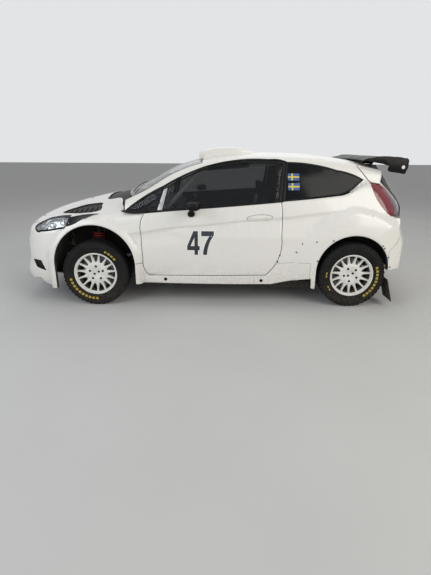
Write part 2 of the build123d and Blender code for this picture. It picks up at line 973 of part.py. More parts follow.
def rear_suspension():
    """Twist beam with trailing arms, hub carriers, springs and dampers."""
    shape = drum_y(1090, 229, 26, -600, 600)
    for side in (-1, 1):
        shape += tube([(985, side * 602, 300), (1090, side * 602, 262), (1340, side * 612, 318)], 25)
        shape += drum_y(REAR_AXLE_X, AXLE_Z, 58, side * 590, side * 655)
        shape += Pos(REAR_AXLE_X + 10, side * 640, 530) * Cylinder(20, 400)
        shape += Pos(REAR_AXLE_X + 10, side * 640, 560) * Cylinder(26, 180)
    return biggest(shape)


def exhaust():
    """Front pipe, silencer and tail pipe."""
    pipe = tube([(-985, 0, 216), (-800, 0, 289), (1110, 0, 289), (1270, -120, 325)], 27, 80)
    box = fillet(block(1240, 1640, -260, 20, 262, 386).edges().filter_by(Axis.X), 40)
    tail = tube([(1600, -200, 300), (1700, -240, 262), (1800, -300, 258), (1930, -300, 258)], 25, 50)
    return biggest(pipe + box + tail)


def mudflap():
    """The flap hanging behind the left rear wheel."""
    narrow = side_prism([(1672, 394), (1678, 394), (1686, 290), (1680, 290)], -796, -690)
    wide = side_prism([(1680, 290), (1686, 290), (1754, 62), (1748, 62)], -896, -690)
    return biggest(narrow + wide)


keep_list = {}


def keep(name, shape):
    """One node: a solid, or a list of solids that do not touch."""
    keep_list[name] = Compound(children=shape) if isinstance(shape, list) else shape


def both(shape):
    """The solids of one side and their mirror images."""
    solids = shape if isinstance(shape, list) else [shape]
    return solids + [other_side(s) for s in solids]


for name, left in (
    ("door", door()),
    ("door_glass", door_glass()),
    ("mirror", mirror_left()),
    ("side_frame", side_frame()),
    ("front_wing", fender()),
):
    keep("left_" + name, left)
    keep("right_" + name, other_side(left))

keep("side_glass", both(side_glass()))
keep("roof_panel", roof_panel())
keep("roof_scoop", roof_scoop())
keep("windscreen", windscreen())
keep("cowl", cowl())
keep("bonnet", bonnet())
keep("headlights", both(headlight()))
keep("tail_lights", both(tail_light()))
keep("front_bumper", front_bumper())
keep("grille", grille())
keep("rear_bumper", rear_bumper())
keep("tailgate", tailgate())
keep("tailgate_glass", tailgate_glass())
keep("rear_wing", rear_wing())
keep("floor_pan", floor_pan())
keep("dashboard", dashboard())
keep("seats", both(seat(-SEAT_Y)))
keep("roll_cage", roll_cage())
keep("steering_wheel", steering_wheel())
keep("front_chassis", front_chassis())
keep("rear_suspension", rear_suspension())
keep("exhaust", exhaust())
keep("mudflaps", both(mudflap()))

for end, x in (("front", FRONT_AXLE_X), ("rear", REAR_AXLE_X)):
    for hand, side in (("left", -1), ("right", 1)):
        rim, tyre = wheel(x, side)
        keep(f"{end}_{hand}_rim", rim)
        keep(f"{end}_{hand}_tyre", tyre)

for hand, side in (("left", -1), ("right", 1)):
    keep(f"{hand}_knuckle", knuckle(side))

ENGINE = (-1560, -1010, -300, 300, 260, 780)
SUMP_GUARD = [(-1820, 190), (-1780, 168), (-780, 168), (-780, 178), (-1778, 178), (-1812, 196)]
keep("engine_block", block(*ENGINE))
keep("sump_guard", side_prism(SUMP_GUARD, -360, 360))

os.makedirs("parts", exist_ok=True)
for name, shape in keep_list.items():
    export_step(shape, f"parts/{name}.step")
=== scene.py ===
import math

import bmesh
import bpy
import numpy as np
from bpy.props import FloatProperty, FloatVectorProperty, IntProperty, PointerProperty, StringProperty
from mathutils import Matrix, Vector
from mathutils.geometry import delaunay_2d_cdt


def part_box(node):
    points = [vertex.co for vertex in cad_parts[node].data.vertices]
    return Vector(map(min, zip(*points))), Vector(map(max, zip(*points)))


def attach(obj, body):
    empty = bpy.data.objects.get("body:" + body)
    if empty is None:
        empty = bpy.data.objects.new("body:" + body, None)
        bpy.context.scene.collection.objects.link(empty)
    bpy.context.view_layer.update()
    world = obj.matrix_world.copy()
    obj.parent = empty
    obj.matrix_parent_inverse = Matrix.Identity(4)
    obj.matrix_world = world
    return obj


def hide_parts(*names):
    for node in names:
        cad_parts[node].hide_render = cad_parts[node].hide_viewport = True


bl_info = {
    "name": "Rally car",
    "version": (1, 0, 0),
    "blender": (4, 5, 0),
    "location": "3D View > Sidebar > Rally Car",
    "description": "Builds the skin, glass, wheels and cabin of a three-door rally car on its packed frame",
    "category": "Object",
}

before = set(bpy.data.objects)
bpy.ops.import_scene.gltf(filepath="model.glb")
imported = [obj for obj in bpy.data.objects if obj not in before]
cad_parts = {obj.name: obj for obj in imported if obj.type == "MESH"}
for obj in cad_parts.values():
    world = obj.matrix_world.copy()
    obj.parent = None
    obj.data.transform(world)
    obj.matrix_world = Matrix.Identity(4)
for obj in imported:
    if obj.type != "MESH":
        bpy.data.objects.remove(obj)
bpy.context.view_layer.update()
MM = 0.001

# All sizes below are millimetres in the frame's own axes: +X to the rear, +Z up, the car's left is -Y.

# z, x of the nose, x of the tail, half width at the doors
LOWER_LEVELS = [
    (124, -1846, 1834, 802),
    (150, -1880, 1850, 812),
    (232, -1966, 1918, 838),
    (295, -1976, 1945, 846),
    (440, -1936, 1971, 863),
    (580, -1928, 1974, 868),
    (700, -1905, 1932, 864),
    (800, -1880, 1918, 854),
    (900, -1850, 1912, 836),
    (1000, -1800, 1884, 808),
    (1130, -1700, 1786, 762),
    (1210, -1600, 1700, 726),
]
# x, z 740 mm out, z on the centre line
BONNET_STATIONS = [
    (-2010, 640, 715),
    (-1880, 708, 785),
    (-1700, 795, 862),
    (-1500, 850, 920),
    (-1300, 874, 970),
    (-1100, 892, 1016),
    (-860, 922, 1070),
    (-620, 960, 1140),
]
# x, half width at the bottom, half width at the rail, z of the rail, z on the centre line
CABIN_STATIONS = [
    (-980, 784, 742, 958, 1024),
    (-880, 792, 738, 996, 1068),
    (-660, 812, 712, 1098, 1170),
    (-370, 824, 680, 1262, 1322),
    (-110, 828, 656, 1350, 1392),
    (200, 830, 636, 1392, 1430),
    (550, 826, 626, 1404, 1446),
    (900, 816, 616, 1392, 1438),
    (1250, 794, 600, 1352, 1400),
    (1400, 776, 592, 1328, 1377),
    (1640, 740, 580, 1280, 1330),
]
# z, x on the centre line, x at 620 mm out
TAIL_LEVELS = [
    (690, 1926, 1850),
    (830, 1918, 1840),
    (930, 1908, 1836),
    (1010, 1880, 1796),
    (1122, 1792, 1706),
    (1240, 1684, 1628),
    (1330, 1596, 1560),
]
# z, x where the tail corner's slant stands 620 mm out
CORNER_LEVELS = [(120, 1880), (338, 1897), (527, 1903), (640, 1899), (696, 1873), (838, 1834),
                 (928, 1838), (1034, 1772), (1098, 1704), (1163, 1648), (1240, 1610)]
# x, distance of the roof's edge from the centre line
ROOF_EDGE = [
    (-980, 722),
    (-660, 688),
    (-370, 654),
    (-110, 630),
    (200, 610),
    (550, 600),
    (900, 590),
    (1250, 574),
    (1640, 556),
]
# Foot of the side windows, the flank's crease and the line where the door turns in: x, z
BELT = [(-2100, 940), (-1000, 938), (-900, 918), (-790, 904), (-655, 905), (-120, 946), (628, 1008),
        (960, 1046), (1240, 1084), (1362, 1130), (1484, 1182), (1700, 1230), (2100, 1260)]
SWAGE = [(-1000, 700), (-804, 724), (-682, 738), (-479, 774), (-77, 813), (296, 853), (666, 882),
         (1047, 928), (1300, 948)]
TUCK = [(-900, 326), (-635, 331), (-356, 340), (61, 358), (475, 405), (598, 427), (900, 480)]
# x, z of the centre, radius of the lip, radius where it meets the body, half width at the lip
FRONT_FLARE = (-1146, 412, 388, 446, 902)
REAR_FLARE = (1336, 364, 352, 556, 908)
# From above, the rear flare fades into the corner of the tail: x, half width
REAR_FLARE_PLAN = [(600, 908), (1480, 908), (1600, 893), (1716, 862), (1800, 820), (1880, 752), (2000, 600)]


def smooth_column(rows, column):
    """A smooth curve through one column of a table, against its first column."""
    x = np.array([r[0] for r in rows], float)
    y = np.array([r[column] for r in rows], float)
    step = np.diff(x)
    slope = np.diff(y) / step
    tangent = np.empty_like(y)
    tangent[0] = slope[0]
    tangent[-1] = slope[-1]
    a, b = slope[:-1], slope[1:]
    wa = step[1:] * 2 + step[:-1]
    wb = step[1:] + step[:-1] * 2
    same = a * b > 0
    safe_a = np.where(same, a, 1.0)
    safe_b = np.where(same, b, 1.0)
    tangent[1:-1] = np.where(same, (wa + wb) / (wa / safe_a + wb / safe_b), 0.0)

    def at(q):
        q = np.clip(np.asarray(q, float), x[0], x[-1])
        i = np.clip(np.searchsorted(x, q, side="right") - 1, 0, len(x) - 2)
        t = (q - x[i]) / step[i]
        return (
            y[i] * (2 * t**3 - 3 * t**2 + 1)
            + tangent[i] * step[i] * (t**3 - 2 * t**2 + t)
            + y[i + 1] * (3 * t**2 - 2 * t**3)
            + tangent[i + 1] * step[i] * (t**3 - t**2)
        )

    return at


nose_x = smooth_column(LOWER_LEVELS, 1)
tail_x = smooth_column(LOWER_LEVELS, 2)
corner_x = smooth_column(CORNER_LEVELS, 1)
door_w = smooth_column(LOWER_LEVELS, 3)
bonnet_side = smooth_column(BONNET_STATIONS, 1)
bonnet_middle = smooth_column(BONNET_STATIONS, 2)
cabin_low = smooth_column(CABIN_STATIONS, 1)
cabin_rail = smooth_column(CABIN_STATIONS, 2)
rail_z = smooth_column(CABIN_STATIONS, 3)
roof_z = smooth_column(CABIN_STATIONS, 4)
gate_middle = smooth_column(TAIL_LEVELS, 1)
gate_edge = smooth_column(TAIL_LEVELS, 2)
roof_edge = smooth_column(ROOF_EDGE, 1)
belt_z = smooth_column(BELT, 1)
swage_z = smooth_column(SWAGE, 1)
tuck_z = smooth_column(TUCK, 1)
rear_fade = smooth_column(REAR_FLARE_PLAN, 1)


def ease(t):
    t = np.clip(t, 0.0, 1.0)
    return t * t * (3 - 2 * t)


def round_meet(a, b, radius):
    """Where two surfaces meet, rounded over."""
    return np.minimum(np.maximum(a, b), -radius) + np.hypot(np.maximum(a + radius, 0),
                                                            np.maximum(b + radius, 0))


def soft_larger(a, b, width):
    """The larger of two heights, with a soft valley between them."""
    h = np.clip(0.5 + 0.5 * (a - b) / width, 0, 1)
    return b * (1 - h) + a * h + width * h * (1 - h)


def side_detail(x, z):
    """How far the flank stands proud of its plain form: the crease, the turned-in door foot and the sill."""
    below = swage_z(x) - z
    fade = ease((x + 940) / 260) * ease((1330 - x) / 320)
    out = -16.0 * ease(below / 34) * (1 - ease((below - 40) / 170)) * fade
    tuck = tuck_z(x) - z
    long_fade = ease((x + 800) / 160) * ease((820 - x) / 160)
    out = out - 18.0 * ease(tuck / 40) * (1 - ease((306 - z) / 14)) * long_fade
    return out


def lower_gap(x, y, z):
    """Signed distance from the lower body, negative inside."""
    nose = nose_x(z)
    tail = tail_x(z)
    half = door_w(z)
    front_x, front_y = nose + 105, half - 26
    rear_x, rear_y = tail - 120, half - 40
    ahead = np.where(x < 0, x / front_x, x / rear_x)
    side = np.abs(y) - (half - np.where(x < 0, 26, 40) * ahead**2 + side_detail(x, z))
    front = (nose + 105 * (y / front_y) ** 2 - x) / 1.03
    back = (x - tail + 120 * (y / rear_y) ** 2) / 1.04
    return np.maximum(round_meet(side, front, 262), round_meet(side, back, 215))


def bonnet_gap(x, y, z):
    middle = bonnet_middle(x)
    return z - (middle - (middle - bonnet_side(x)) * (y / 740) ** 2)


def front_gap(x, y, z):
    """Lower body under the bonnet and wing tops, with a soft shoulder."""
    return round_meet(lower_gap(x, y, z), bonnet_gap(x, y, z), 46)


def cabin_gap(x, y, z):
    low = cabin_low(x)
    rail = cabin_rail(x)
    top = rail_z(x)
    middle = (low + rail) / 2 + 10
    t = np.clip((z - 850) / (top - 850), -0.3, 1.6)
    width = low * 2 * (t - 0.5) * (t - 1) - middle * 4 * t * (t - 1) + rail * 2 * t * (t - 0.5)
    roof = z - (roof_z(x) - (roof_z(x) - top) * (y / rail) ** 2)
    return round_meet((np.abs(y) - width) / 1.12, roof / 1.05, 40)


def gate_gap(x, y, z):
    return x - (gate_middle(z) - (gate_middle(z) - gate_edge(z)) * (y / 620) ** 2)


def flare_width(arch, x, z):
    """Half width of the flare at a point of the side view."""
    ax, az, lip, edge, half = arch
    r = np.hypot(x - ax, np.maximum(z - az, 0))
    r = np.where(z < az, np.abs(x - ax), r)
    t = (r - lip) / (edge - lip)
    body = half - 3 - (half - 876) * np.clip(t, 0, 1) ** 1.5 - 420 * np.clip(t - 1, 0, None)
    lip_roll = 5 * (1 - ease((r - lip) / 7))
    if arch is REAR_FLARE:
        body = np.minimum(body, rear_fade(x))
    return np.where(r < lip - 30, 0, body - lip_roll)


def corner_slant(x, y, z):
    """Signed distance from the slanted plane that cuts the corner of the tail."""
    return (np.abs(y) + 2.2 * (x - corner_x(z)) - 620) / 2.42


def cornered_gap(x, y, z):
    return round_meet(lower_gap(x, y, z), corner_slant(x, y, z), 60)


def rear_flare_width(x, y, z):
    past = np.maximum(corner_slant(x, y, z) + 4, x - tail_x(z) + 60)
    return flare_width(REAR_FLARE, x, z) - 16 * np.clip(past, 0, None)


def flank_gap(x, y, z):
    """The whole side: lower body up to the belt, cabin above it, and both flares."""
    low = round_meet(cornered_gap(x, y, z), z - belt_z(x) - 2, 16)
    wide = np.maximum(flare_width(FRONT_FLARE, x, z), rear_flare_width(x, y, z))
    swollen = np.abs(y) - np.minimum(low, cabin_gap(x, y, z))
    return np.abs(y) - soft_larger(swollen, wide, 5)


def wing_gap(x, y, z):
    """The front wing and bumper corner: body, bonnet shoulder and the front flare."""
    swollen = np.abs(y) - front_gap(x, y, z)
    return np.abs(y) - soft_larger(swollen, flare_width(FRONT_FLARE, x, z), 5)


def tail_gap(x, y, z):
    """The rear corner with its flare, drawn in towards the tail."""
    swollen = np.abs(y) - cornered_gap(x, y, z)
    return np.abs(y) - soft_larger(swollen, rear_flare_width(x, y, z), 5)


def meet(gap, start, way, reach, parts=48):
    """The first point along each ray where the gap turns negative."""
    n = len(start)
    lo = np.zeros(n)
    hi = np.full(n, float(reach))
    found = np.zeros(n, bool)
    previous = np.zeros(n)
    for k in range(1, parts + 1):
        t = np.full(n, reach * k / parts)
        p = start + way * t[:, None]
        inside = gap(p[:, 0], p[:, 1], p[:, 2]) < 0
        new = inside & ~found
        lo[new] = previous[new]
        hi[new] = t[new]
        found |= inside
        previous = t
    for _ in range(18):
        middle = (lo + hi) / 2
        p = start + way * middle[:, None]
        inside = gap(p[:, 0], p[:, 1], p[:, 2]) < 0
        hi = np.where(inside, middle, hi)
        lo = np.where(inside, lo, middle)
    return start + way * hi[:, None]


class Lift:
    """Takes a flat outline onto a curved surface: where each ray starts, its way inwards, and the surface."""

    def __init__(self, gap, rays, reach=620):
        self.gap = gap
        self.rays = rays
        self.reach = reach

    def __call__(self, uv):
        start, way = self.rays(np.asarray(uv, float))
        return meet(self.gap, start, way, self.reach), way


def straight_rays(axis, start, way):
    """Rays that all run along one axis from a plane off the car."""
    across = [k for k in range(3) if k != axis]

    def rays(uv):
        place = np.full((len(uv), 3), start)
        place[:, across] = uv[:, :2]
        run = np.zeros((len(uv), 3))
        run[:, axis] = way
        return place, run

    return rays


def round_rays(hub_x, sign):
    """Level rays towards an upright axis, from nose or tail; the first number runs round it."""

    def rays(uv):
        turn = uv[:, 0] / ROUND_R
        way = np.column_stack([sign * np.cos(turn), np.sin(turn), np.zeros(len(uv))])
        hub = np.column_stack([np.full(len(uv), hub_x), np.zeros(len(uv)), uv[:, 1]])
        return hub + way * RAY_START, -way

    return rays


ROUND_R = 800.0
RAY_START = 1120.0
FRONT_HUB_X = -1180.0
REAR_HUB_X = 1180.0
from_left = straight_rays(1, -1010.0, 1.0)
from_above = straight_rays(2, 1600.0, -1.0)
from_behind = straight_rays(0, 2060.0, -1.0)
around_nose = round_rays(FRONT_HUB_X, -1.0)
around_tail = round_rays(REAR_HUB_X, 1.0)


ON_FLANK = Lift(flank_gap, from_left)
ON_WING = Lift(wing_gap, from_left)
ON_CORNER = Lift(tail_gap, from_left)
ON_CABIN = Lift(cabin_gap, from_left)
ON_BONNET = Lift(front_gap, from_above, 1300)
ON_ROOF = Lift(cabin_gap, from_above)
ON_NOSE = Lift(wing_gap, around_nose, 900)
ON_TAIL = Lift(tail_gap, around_tail, 900)
ON_GATE = Lift(gate_gap, from_behind)


def places_round_nose(points):
    """Points in space as places round the nose."""
    return [(math.atan2(y, FRONT_HUB_X - x) * ROUND_R, z) for x, y, z in points]


def places_round_tail(points):
    return [(math.atan2(y, x - REAR_HUB_X) * ROUND_R, z) for x, y, z in points]


def round_nose(points):
    """Points of the side view (x, z) as places round the nose."""
    return places_round_nose(ON_WING(points)[0])


def round_tail(points):
    return places_round_tail(ON_CORNER(points)[0])


def round_nose_front(points):
    """Points of the front view (y, z) as places round the nose."""
    return places_round_nose(level_meet(wing_gap, points, -2080.0, 1.0))


def round_tail_back(points):
    """Points of the rear view (y, z) as places round the tail."""
    return places_round_tail(level_meet(tail_gap, points, 2080.0, -1.0))


def level_meet(gap, points, start_x, way):
    start, run = straight_rays(0, start_x, way)(np.array(points, float))
    return meet(gap, start, run, 1200)


# Outlines of the side view: x, z corners; four numbers are an arc through x, z to x, z.
DOOR_LOWER = [(-655, 900), (-686, 830, -693, 740), (-681, 460), (-666, 350, -633, 302), (500, 320),
              (598, 440, 637, 700), (640, 860, 628, 1006), (240, 972, -120, 944)]
DOOR_WINDOW_FRAME = [(-520, 900), (-466, 1126), (-280, 1226, -90, 1306), (200, 1364, 520, 1374),
                     (600, 1372, 672, 1360), (628, 980)]
DOOR_GLASS = [(-480, 936), (-430, 1126), (-260, 1220, -90, 1288), (200, 1342, 500, 1352),
              (580, 1350, 640, 1340), (602, 1010)]
QUARTER_GLASS = [(668, 1030), (960, 1056, 1140, 1076), (1232, 1094, 1306, 1136), (1400, 1207),
                 (1320, 1241, 1160, 1280), (1000, 1318, 690, 1348)]
SAIL_GLASS = [(-808, 934), (-680, 936, -548, 944), (-504, 1104), (-640, 1046)]
SIDE_PANEL = [(-757, 222), (-757, 426), (-660, 426), (-660, 640), (-665, 830, -655, 900),
              (-790, 895, -900, 918), (-900, 960), (-700, 1140), (-300, 1400), (100, 1500), (1340, 1500),
              (1362, 1325), (1484, 1180), (1478, 1160), (1510, 1074), (1560, 990, 1640, 912),
              (1700, 872, 1784, 858), (1786, 780, 1762, 700), (1740, 640), (1668, 560), (1668, 180),
              (1000, 180), (974, 192), (946, 196), (941, 293), (740, 262, 560, 227), (200, 224)]
DARK_BAND = [(-856, 910), (-790, 897, -655, 902), (-390, 918, -120, 944), (240, 972, 628, 1006),
             (668, 1014), (960, 1042, 1150, 1064), (1250, 1084, 1322, 1122), (1424, 1207),
             (1330, 1252, 1160, 1294), (1000, 1334, 690, 1364), (600, 1388, 520, 1388),
             (200, 1380, -90, 1322), (-300, 1240, -480, 1146), (-660, 1052, -856, 912)]
HEADLIGHT = [(-1731, 752), (-1702, 776, -1661, 798), (-1614, 823, -1533, 845), (-1440, 860, -1372, 864),
             (-1366, 855), (-1374, 818, -1392, 782), (-1420, 764, -1468, 752), (-1575, 733, -1660, 722),
             (-1716, 722, -1731, 752)]
# The gap behind the headlamp between bonnet and wing; it is cut from the wing and closed by a black sheet
# that is painted shade
LAMP_GAP_SHADE = [(-1366, 855), (-1230, 876, -1090, 884), (-1190, 862, -1268, 826), (-1330, 796, -1388, 780),
             (-1374, 806)]
TAIL_LIGHT = [(1480, 1172), (1488, 1130, 1500, 1104), (1520, 1050, 1546, 1001), (1580, 950, 1602, 922),
              (1640, 904, 1690, 886), (1730, 870, 1770, 862), (1800, 880, 1806, 944),
              (1790, 1000, 1736, 1044), (1700, 1075, 1664, 1106), (1620, 1146, 1590, 1164),
              (1540, 1176, 1480, 1172)]
WING_SIDE = [(-1376, 700), (-1378, 716), (-1395, 739), (-1412, 752), (-1380, 790), (-1366, 855),
             (-1376, 900), (-1376, 1100), (-902, 1100), (-902, 915), (-792, 892, -657, 897), (-657, 640),
             (-657, 430), (-820, 430)]
COWL_PLAN = [(-868, -690), (-898, -600), (-906, -536), (-922, -478), (-946, -434, -1032, -417),
             (-1078, -394, -1101, -298), (-1116, -144), (-1118, 0), (-1116, 144), (-1101, 298),
             (-1078, 394, -1032, 417), (-946, 434, -922, 478), (-906, 536), (-898, 600), (-868, 690),
             (-778, 690), (-900, 0, -778, -690)]
TAILGATE_REAR = [(-586, 708), (586, 708), (590, 830), (560, 1180), (520, 1340), (-520, 1340),
                 (-560, 1180), (-590, 830)]
REAR_GLASS = [(-520, 1040), (0, 1015, 520, 1040), (480, 1262), (0, 1296, -480, 1262)]
GRILLE_FRONT = [(-430, 440), (430, 440), (560, 350, 500, 250), (-500, 250), (-560, 350, -430, 440)]
UPPER_GRILLE = [(-420, 640), (420, 640), (470, 700), (-470, 700)]
FOG_POCKET = [(-1801, 434), (-1692, 436), (-1645, 334), (-1756, 360)]


def arc_between(a, middle, b, step):
    """Points along the arc from a through the middle to b, without a itself."""
    ax, ay = a
    bx, by = middle
    cx, cy = b
    d = 2 * (ax * (by - cy) + bx * (cy - ay) + cx * (ay - by))
    if abs(d) < 1e-6:
        return [b]
    ux = ((ax**2 + ay**2) * (by - cy) + (bx**2 + by**2) * (cy - ay) + (cx**2 + cy**2) * (ay - by)) / d
    uy = ((ax**2 + ay**2) * (cx - bx) + (bx**2 + by**2) * (ax - cx) + (cx**2 + cy**2) * (bx - ax)) / d
    r = math.hypot(ax - ux, ay - uy)
    first = math.atan2(ay - uy, ax - ux)
    mid = math.atan2(by - uy, bx - ux)
    last = math.atan2(cy - uy, cx - ux)
    turn = (last - first) % (2 * math.pi)
    if (mid - first) % (2 * math.pi) > turn:
        turn -= 2 * math.pi
    n = max(2, int(abs(turn) * r / step + 0.5))
    return [(ux + r * math.cos(first + turn * k / n), uy + r * math.sin(first + turn * k / n))
            for k in range(1, n + 1)]


def trace(points, step=14.0, closed=True):
    """The outline as evenly spaced points."""
    line = [tuple(points[0])]
    for point in list(points[1:]) + [points[0]] * closed:
        start = line[-1]
        end = tuple(point[-2:])
        if len(point) == 4:
            line += arc_between(start, point[:2], end, step)
        else:
            n = max(1, int(math.dist(start, end) / step + 0.5))
            line += [(start[0] + (end[0] - start[0]) * k / n, start[1] + (end[1] - start[1]) * k / n)
                     for k in range(1, n + 1)]
    if math.dist(line[0], line[-1]) < 0.5:
        line.pop()
    return line


def turn_area(line):
    return sum(a[0] * b[1] - b[0] * a[1] for a, b in zip(line, line[1:] + line[:1])) / 2


def grown(line, by):
    """The outline moved outwards by a gap, or inwards if it is negative."""
    p = np.array(line, float)
    if turn_area(line) < 0:
        by = -by
    after = np.roll(p, -1, 0) - p
    before = p - np.roll(p, 1, 0)
    na = np.column_stack([after[:, 1], -after[:, 0]])
    nb = np.column_stack([before[:, 1], -before[:, 0]])
    na /= np.linalg.norm(na, axis=1)[:, None] + 1e-9
    nb /= np.linalg.norm(nb, axis=1)[:, None] + 1e-9
    n = na + nb
    n /= (n * na).sum(1)[:, None] + 1e-6
    n *= np.minimum(1.0, 2.2 / (np.linalg.norm(n, axis=1)[:, None] + 1e-9))
    return [tuple(q) for q in p + n * by]


def ring_line(x, z, radius, step=12.0, start=0.0, end=360.0):
    n = max(6, int(math.radians(end - start) * radius / step))
    angles = [math.radians(start + (end - start) * k / n) for k in range(n + (end - start < 360))]
    return [(x + radius * math.cos(a), z + radius * math.sin(a)) for a in angles]


def arch_line(arch, extra=0.0, step=10.0):
    """The wheel opening: a half circle on straight sides down to the ground."""
    x, z, radius = arch[0], arch[1], arch[2] + extra
    sides = max(2, int((z + 40) / step))
    left = [(x - radius, -40 + (z + 40) * k / sides) for k in range(sides)]
    top = ring_line(x, z, radius, step, 0, 180)[::-1]
    right = [(px + 2 * radius, pz) for px, pz in reversed(left)]
    return left + top + right


def inside_line(line, points):
    """Which points lie inside a closed outline."""
    poly = np.array(line, float)
    px, py = points[:, 0][:, None], points[:, 1][:, None]
    ax, ay = poly[:, 0], poly[:, 1]
    bx, by = np.roll(ax, -1), np.roll(ay, -1)
    cross = (ay > py) != (by > py)
    with np.errstate(divide="ignore", invalid="ignore"):
        at = (bx - ax) * (py - ay) / (by - ay) + ax
    return (cross & (px < at)).sum(1) % 2 == 1


def flat_pieces(keep, cut, step, guides=()):
    """Triangles that lie inside every kept outline and outside every cut one, with a regular grid between."""
    verts, edges = [], []
    for line in list(keep) + list(cut):
        base = len(verts)
        verts += line
        n = len(line)
        edges += [(base + i, base + (i + 1) % n) for i in range(n)]
    for line in guides:
        base = len(verts)
        verts += line
        edges += [(base + i, base + i + 1) for i in range(len(line) - 1)]
    outer = np.array(keep[0], float)
    lo, hi = outer.min(0), outer.max(0)
    gx = np.arange(lo[0] + step / 2, hi[0], step)
    gy = np.arange(lo[1] + step / 2, hi[1], step)
    grid = np.array([(a + (step / 2 if j % 2 else 0), b) for j, b in enumerate(gy) for a in gx])
    if len(grid):
        borders = []
        for line in list(keep) + list(cut):
            borders += [((a[0] + b[0]) / 2, (a[1] + b[1]) / 2) for a, b in zip(line, line[1:] + line[:1])]
            borders += line
        for line in guides:
            borders += list(line)
        near = np.array(borders, float)
        far = np.ones(len(grid), bool)
        for k in range(0, len(grid), 2000):
            part = grid[k : k + 2000]
            far[k : k + 2000] = ((part[:, None, :] - near[None, :, :]) ** 2).sum(2).min(1) > (step
                                                                                              * 0.45) ** 2
        for line in keep:
            far &= inside_line(line, grid)
        verts += [tuple(g) for g in grid[far]]
    out, _, faces, _, _, _ = delaunay_2d_cdt([Vector(v) for v in verts], edges, [], 0, 0.02)
    points = np.array([tuple(v) for v in out], float)
    tris = np.array([f for f in faces if len(f) == 3], int)
    middle = points[tris].mean(1)
    good = np.ones(len(tris), bool)
    for line in keep:
        good &= inside_line(line, middle)
    for line in cut:
        good &= ~inside_line(line, middle)
    tris = tris[good]
    a, b, c = points[tris[:, 0]], points[tris[:, 1]], points[tris[:, 2]]
    area = (b[:, 0] - a[:, 0]) * (c[:, 1] - a[:, 1]) - (b[:, 1] - a[:, 1]) * (c[:, 0] - a[:, 0])
    tris = tris[np.abs(area) > 1e-3]
    area = area[np.abs(area) > 1e-3]
    tris[area < 0] = tris[area < 0][:, ::-1]
    used = np.unique(tris)
    renumber = np.full(len(points), -1)
    renumber[used] = np.arange(len(used))
    return points[used], renumber[tris]


def border_edges(tris):
    """Edges with one triangle, in that triangle's direction."""
    count = {}
    for a, b, c in tris:
        for e in ((a, b), (b, c), (c, a)):
            count[e] = 1
    return [e for e in count if (e[1], e[0]) not in count]


def new_object(name, verts, faces, finishes, indices=None, smooth_angle=38.0):
    """A finished mesh object in metres at the origin."""
    mesh = bpy.data.meshes.new(name)
    mesh.from_pydata((np.asarray(verts, float) * MM).tolist(), [], [list(map(int, f)) for f in faces])
    for finish_name in finishes:
        mesh.materials.append(look(finish_name))
    if indices is not None:
        mesh.polygons.foreach_set("material_index", np.asarray(indices, np.int32))
    mesh.polygons.foreach_set("use_smooth", [True] * len(mesh.polygons))
    mesh.validate()
    mesh.update()
    if smooth_angle:
        mesh.set_sharp_from_angle(angle=math.radians(smooth_angle))
    obj = bpy.data.objects.new(name, mesh)
    bpy.context.scene.collection.objects.link(obj)
    return obj


def panel(name, lift, keep, cut=(), wall=30.0, sink=0.0, step=26.0, edge=2.6, guides=(),
          outside="white_paint", inside=None):
    """A body panel: its outer skin on the surface, its inner skin one wall in, and rolled edges between."""
    uv, tris = flat_pieces(keep, cut, step, guides)
    skin, way = lift(uv)
    a, b, c = skin[tris[:, 0]], skin[tris[:, 1]], skin[tris[:, 2]]
    facing = (np.cross(b - a, c - a) * way[tris[:, 0]]).sum()
    if facing > 0:
        tris = tris[:, ::-1]
    outer = skin + way * sink
    depth = wall(uv) if callable(wall) else np.full(len(uv), float(wall))
    inner = outer + way * depth[:, None]
    rim = border_edges(tris)
    n = len(outer)
    rim_ids = sorted({i for e in rim for i in e})
    pull = np.zeros((n, 3))
    weight = np.zeros(n)
    for i, j in rim:
        along = outer[j] - outer[i]
        side = np.cross(along, way[i])
        side /= np.linalg.norm(side) + 1e-9
        for k in (i, j):
            pull[k] += side
            weight[k] += 1
    inward = np.zeros((n, 3))
    inward[rim_ids] = pull[rim_ids] / (np.linalg.norm(pull[rim_ids], axis=1)[:, None] + 1e-9)
    verts = [outer]
    faces = [tuple(t) for t in tris]
    marks = [0] * len(tris)
    if edge > 0:
        # the rim's own vertices drop by the radius, after two rings that round it over
        ring_of = {v: k for k, v in enumerate(rim_ids)}
        centre = outer[rim_ids]
        flat = np.array([inward[v] for v in rim_ids])
        down = way[rim_ids]
        moved = outer.copy()
        moved[rim_ids] = centre + flat * edge
        verts[0] = moved
        first = centre + flat * edge * 0.29 + down * edge * 0.29
        second = centre + down * edge
        base1 = n
        base2 = n + len(rim_ids)
        verts += [first, second]
        for i, j in rim:
            p, q = ring_of[i], ring_of[j]
            faces += [(j, i, base1 + p, base1 + q), (base1 + q, base1 + p, base2 + p, base2 + q)]
            marks += [0, 0]
        top_of = {v: base2 + k for v, k in ring_of.items()}
        total = n + 2 * len(rim_ids)
    else:
        top_of = {v: v for v in rim_ids}
        total = n
    verts.append(inner)
    faces += [tuple(total + k for k in t[::-1]) for t in tris]
    marks += [1] * len(tris)
    for i, j in rim:
        faces.append((top_of[j], top_of[i], total + i, total + j))
        marks.append(1)
    return new_object(name, np.vstack(verts), faces, [outside, inside or outside], marks)


def copied_across(obj, name):
    """The same piece on the other side of the car."""
    other = bpy.data.objects.new(name, obj.data.copy())
    bpy.context.scene.collection.objects.link(other)
    other.data.transform(Matrix.Scale(-1, 4, (0, 1, 0)))
    other.data.flip_normals()
    return other


